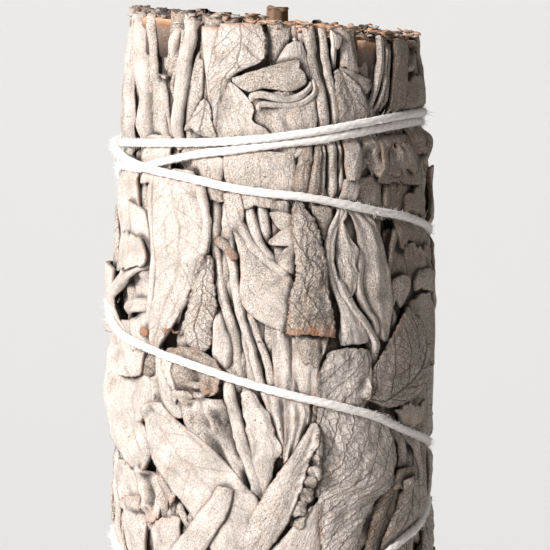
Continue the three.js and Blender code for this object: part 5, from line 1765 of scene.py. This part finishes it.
def make_string():
    piece = Piece()
    centre, out = string_line()
    at, facing = (centre[0] + centre[-1]) / 2, out[0]
    ends = [knot_line(at, facing), tail_line(at, facing, -1), tail_line(at, facing, 1)]
    lines = [(centre, out)] + [(end, np.tile(facing, (len(end), 1))) for end in ends]
    for number, (line, outward) in enumerate(lines):
        points, quads, shade = tube(line, outward, STRING_RADIUS)
        piece.add(points.reshape(-1, 3), shade, quads)
        count = FIBRES if number == 0 else END_FIBRES
        hair, hair_quads = nap(points, count, 55 + number)
        piece.add(hair, np.zeros((len(hair), 4)), hair_quads)
    return piece.build("string_winding", "string", ["string"], cotton_material())


string = make_string()
print("string faces:", len(string.data.polygons))

# %% [markdown]
# ## Floor, backdrop and light
# The setting is plain: a pale grey floor and wall in one sweep. Soft daylight comes from the
# left and a little in front, so that the left side is nearly white and the right is in shade.

# %% Floor and backdrop
def make_sweep():
    turn = np.linspace(0.1, 1.57, 14)
    depth = np.concatenate([np.linspace(-1.6, 0.9, 6), 0.9 + 0.8 * np.sin(turn), [1.7]])
    height = np.concatenate([np.zeros(6), 0.8 - 0.8 * np.cos(turn), [3.0]])
    y, x = np.meshgrid(depth, np.linspace(-3, 3, 5), indexing="ij")
    z = np.broadcast_to(height[:, None], y.shape)
    mesh = bpy.data.meshes.new("sweep")
    points = np.stack([x, y, z], -1).reshape(-1, 3)
    mesh.from_pydata(points.tolist(), [], grid_quads(*x.shape).tolist())
    mesh.polygons.foreach_set("use_smooth", np.ones(len(mesh.polygons), bool))
    sweep = bpy.data.objects.new("sweep", mesh)
    bpy.context.scene.collection.objects.link(sweep)
    material, tree, shader = new_material("pale backdrop")
    shade = add_noise(tree, 0.8, 2)
    colour = blend(tree, between(tree, shade, 0.3, 0.7), (0.76, 0.755, 0.745), (0.8, 0.795, 0.785))
    tree.links.new(colour, shader.inputs["Base Color"])
    shader.inputs["Roughness"].default_value = 0.9
    mesh.materials.append(material)
    return sweep


sweep = make_sweep()


# %% [markdown]
# A small lamp stands for the window. It gives the string and the ridges their crisp shadows. A
# second one is turned to the wall, and a weak even sky fills the crevices.

# %% Light
def area_light(name, place, size, power, target=(0, 0, 0.07), colour=(1, 1, 1)):
    data = bpy.data.lights.new(name, "AREA")
    data.size = size
    data.energy = power
    data.color = colour
    lamp = bpy.data.objects.new(name, data)
    bpy.context.scene.collection.objects.link(lamp)
    lamp.location = place
    aim = np.array(target) - np.array(place)
    flat = math.hypot(aim[0], aim[1])
    lamp.rotation_euler = (math.pi / 2 + math.atan2(aim[2], flat), 0, math.atan2(-aim[0], aim[1]))
    return lamp


area_light("window", (-0.765, -0.735, 0.5), 0.32, 23.0, colour=(1.0, 0.965, 0.965))
area_light("wall light", (0.0, 0.7, 0.9), 0.9, 6.6, target=(0, 1.7, 0.2))
world = bpy.data.worlds.new("daylight")
world.use_nodes = True
world.node_tree.nodes["Background"].inputs["Color"].default_value = (1.0, 0.985, 0.94, 1)
world.node_tree.nodes["Background"].inputs["Strength"].default_value = 0.2
bpy.context.scene.world = world
bpy.context.scene.view_settings.view_transform = "Standard"
print("view transform:", bpy.context.scene.view_settings.view_transform)

# %% [markdown]
# ## Sizes
# The last cell counts the triangles.

# %% Sizes
triangles = {
    thing.name: sum(len(face.vertices) - 2 for face in thing.data.polygons)
    for thing in bpy.data.objects if thing.type == "MESH"
}
print("triangles:", sum(triangles.values()), "most in one piece:", max(triangles.values()))
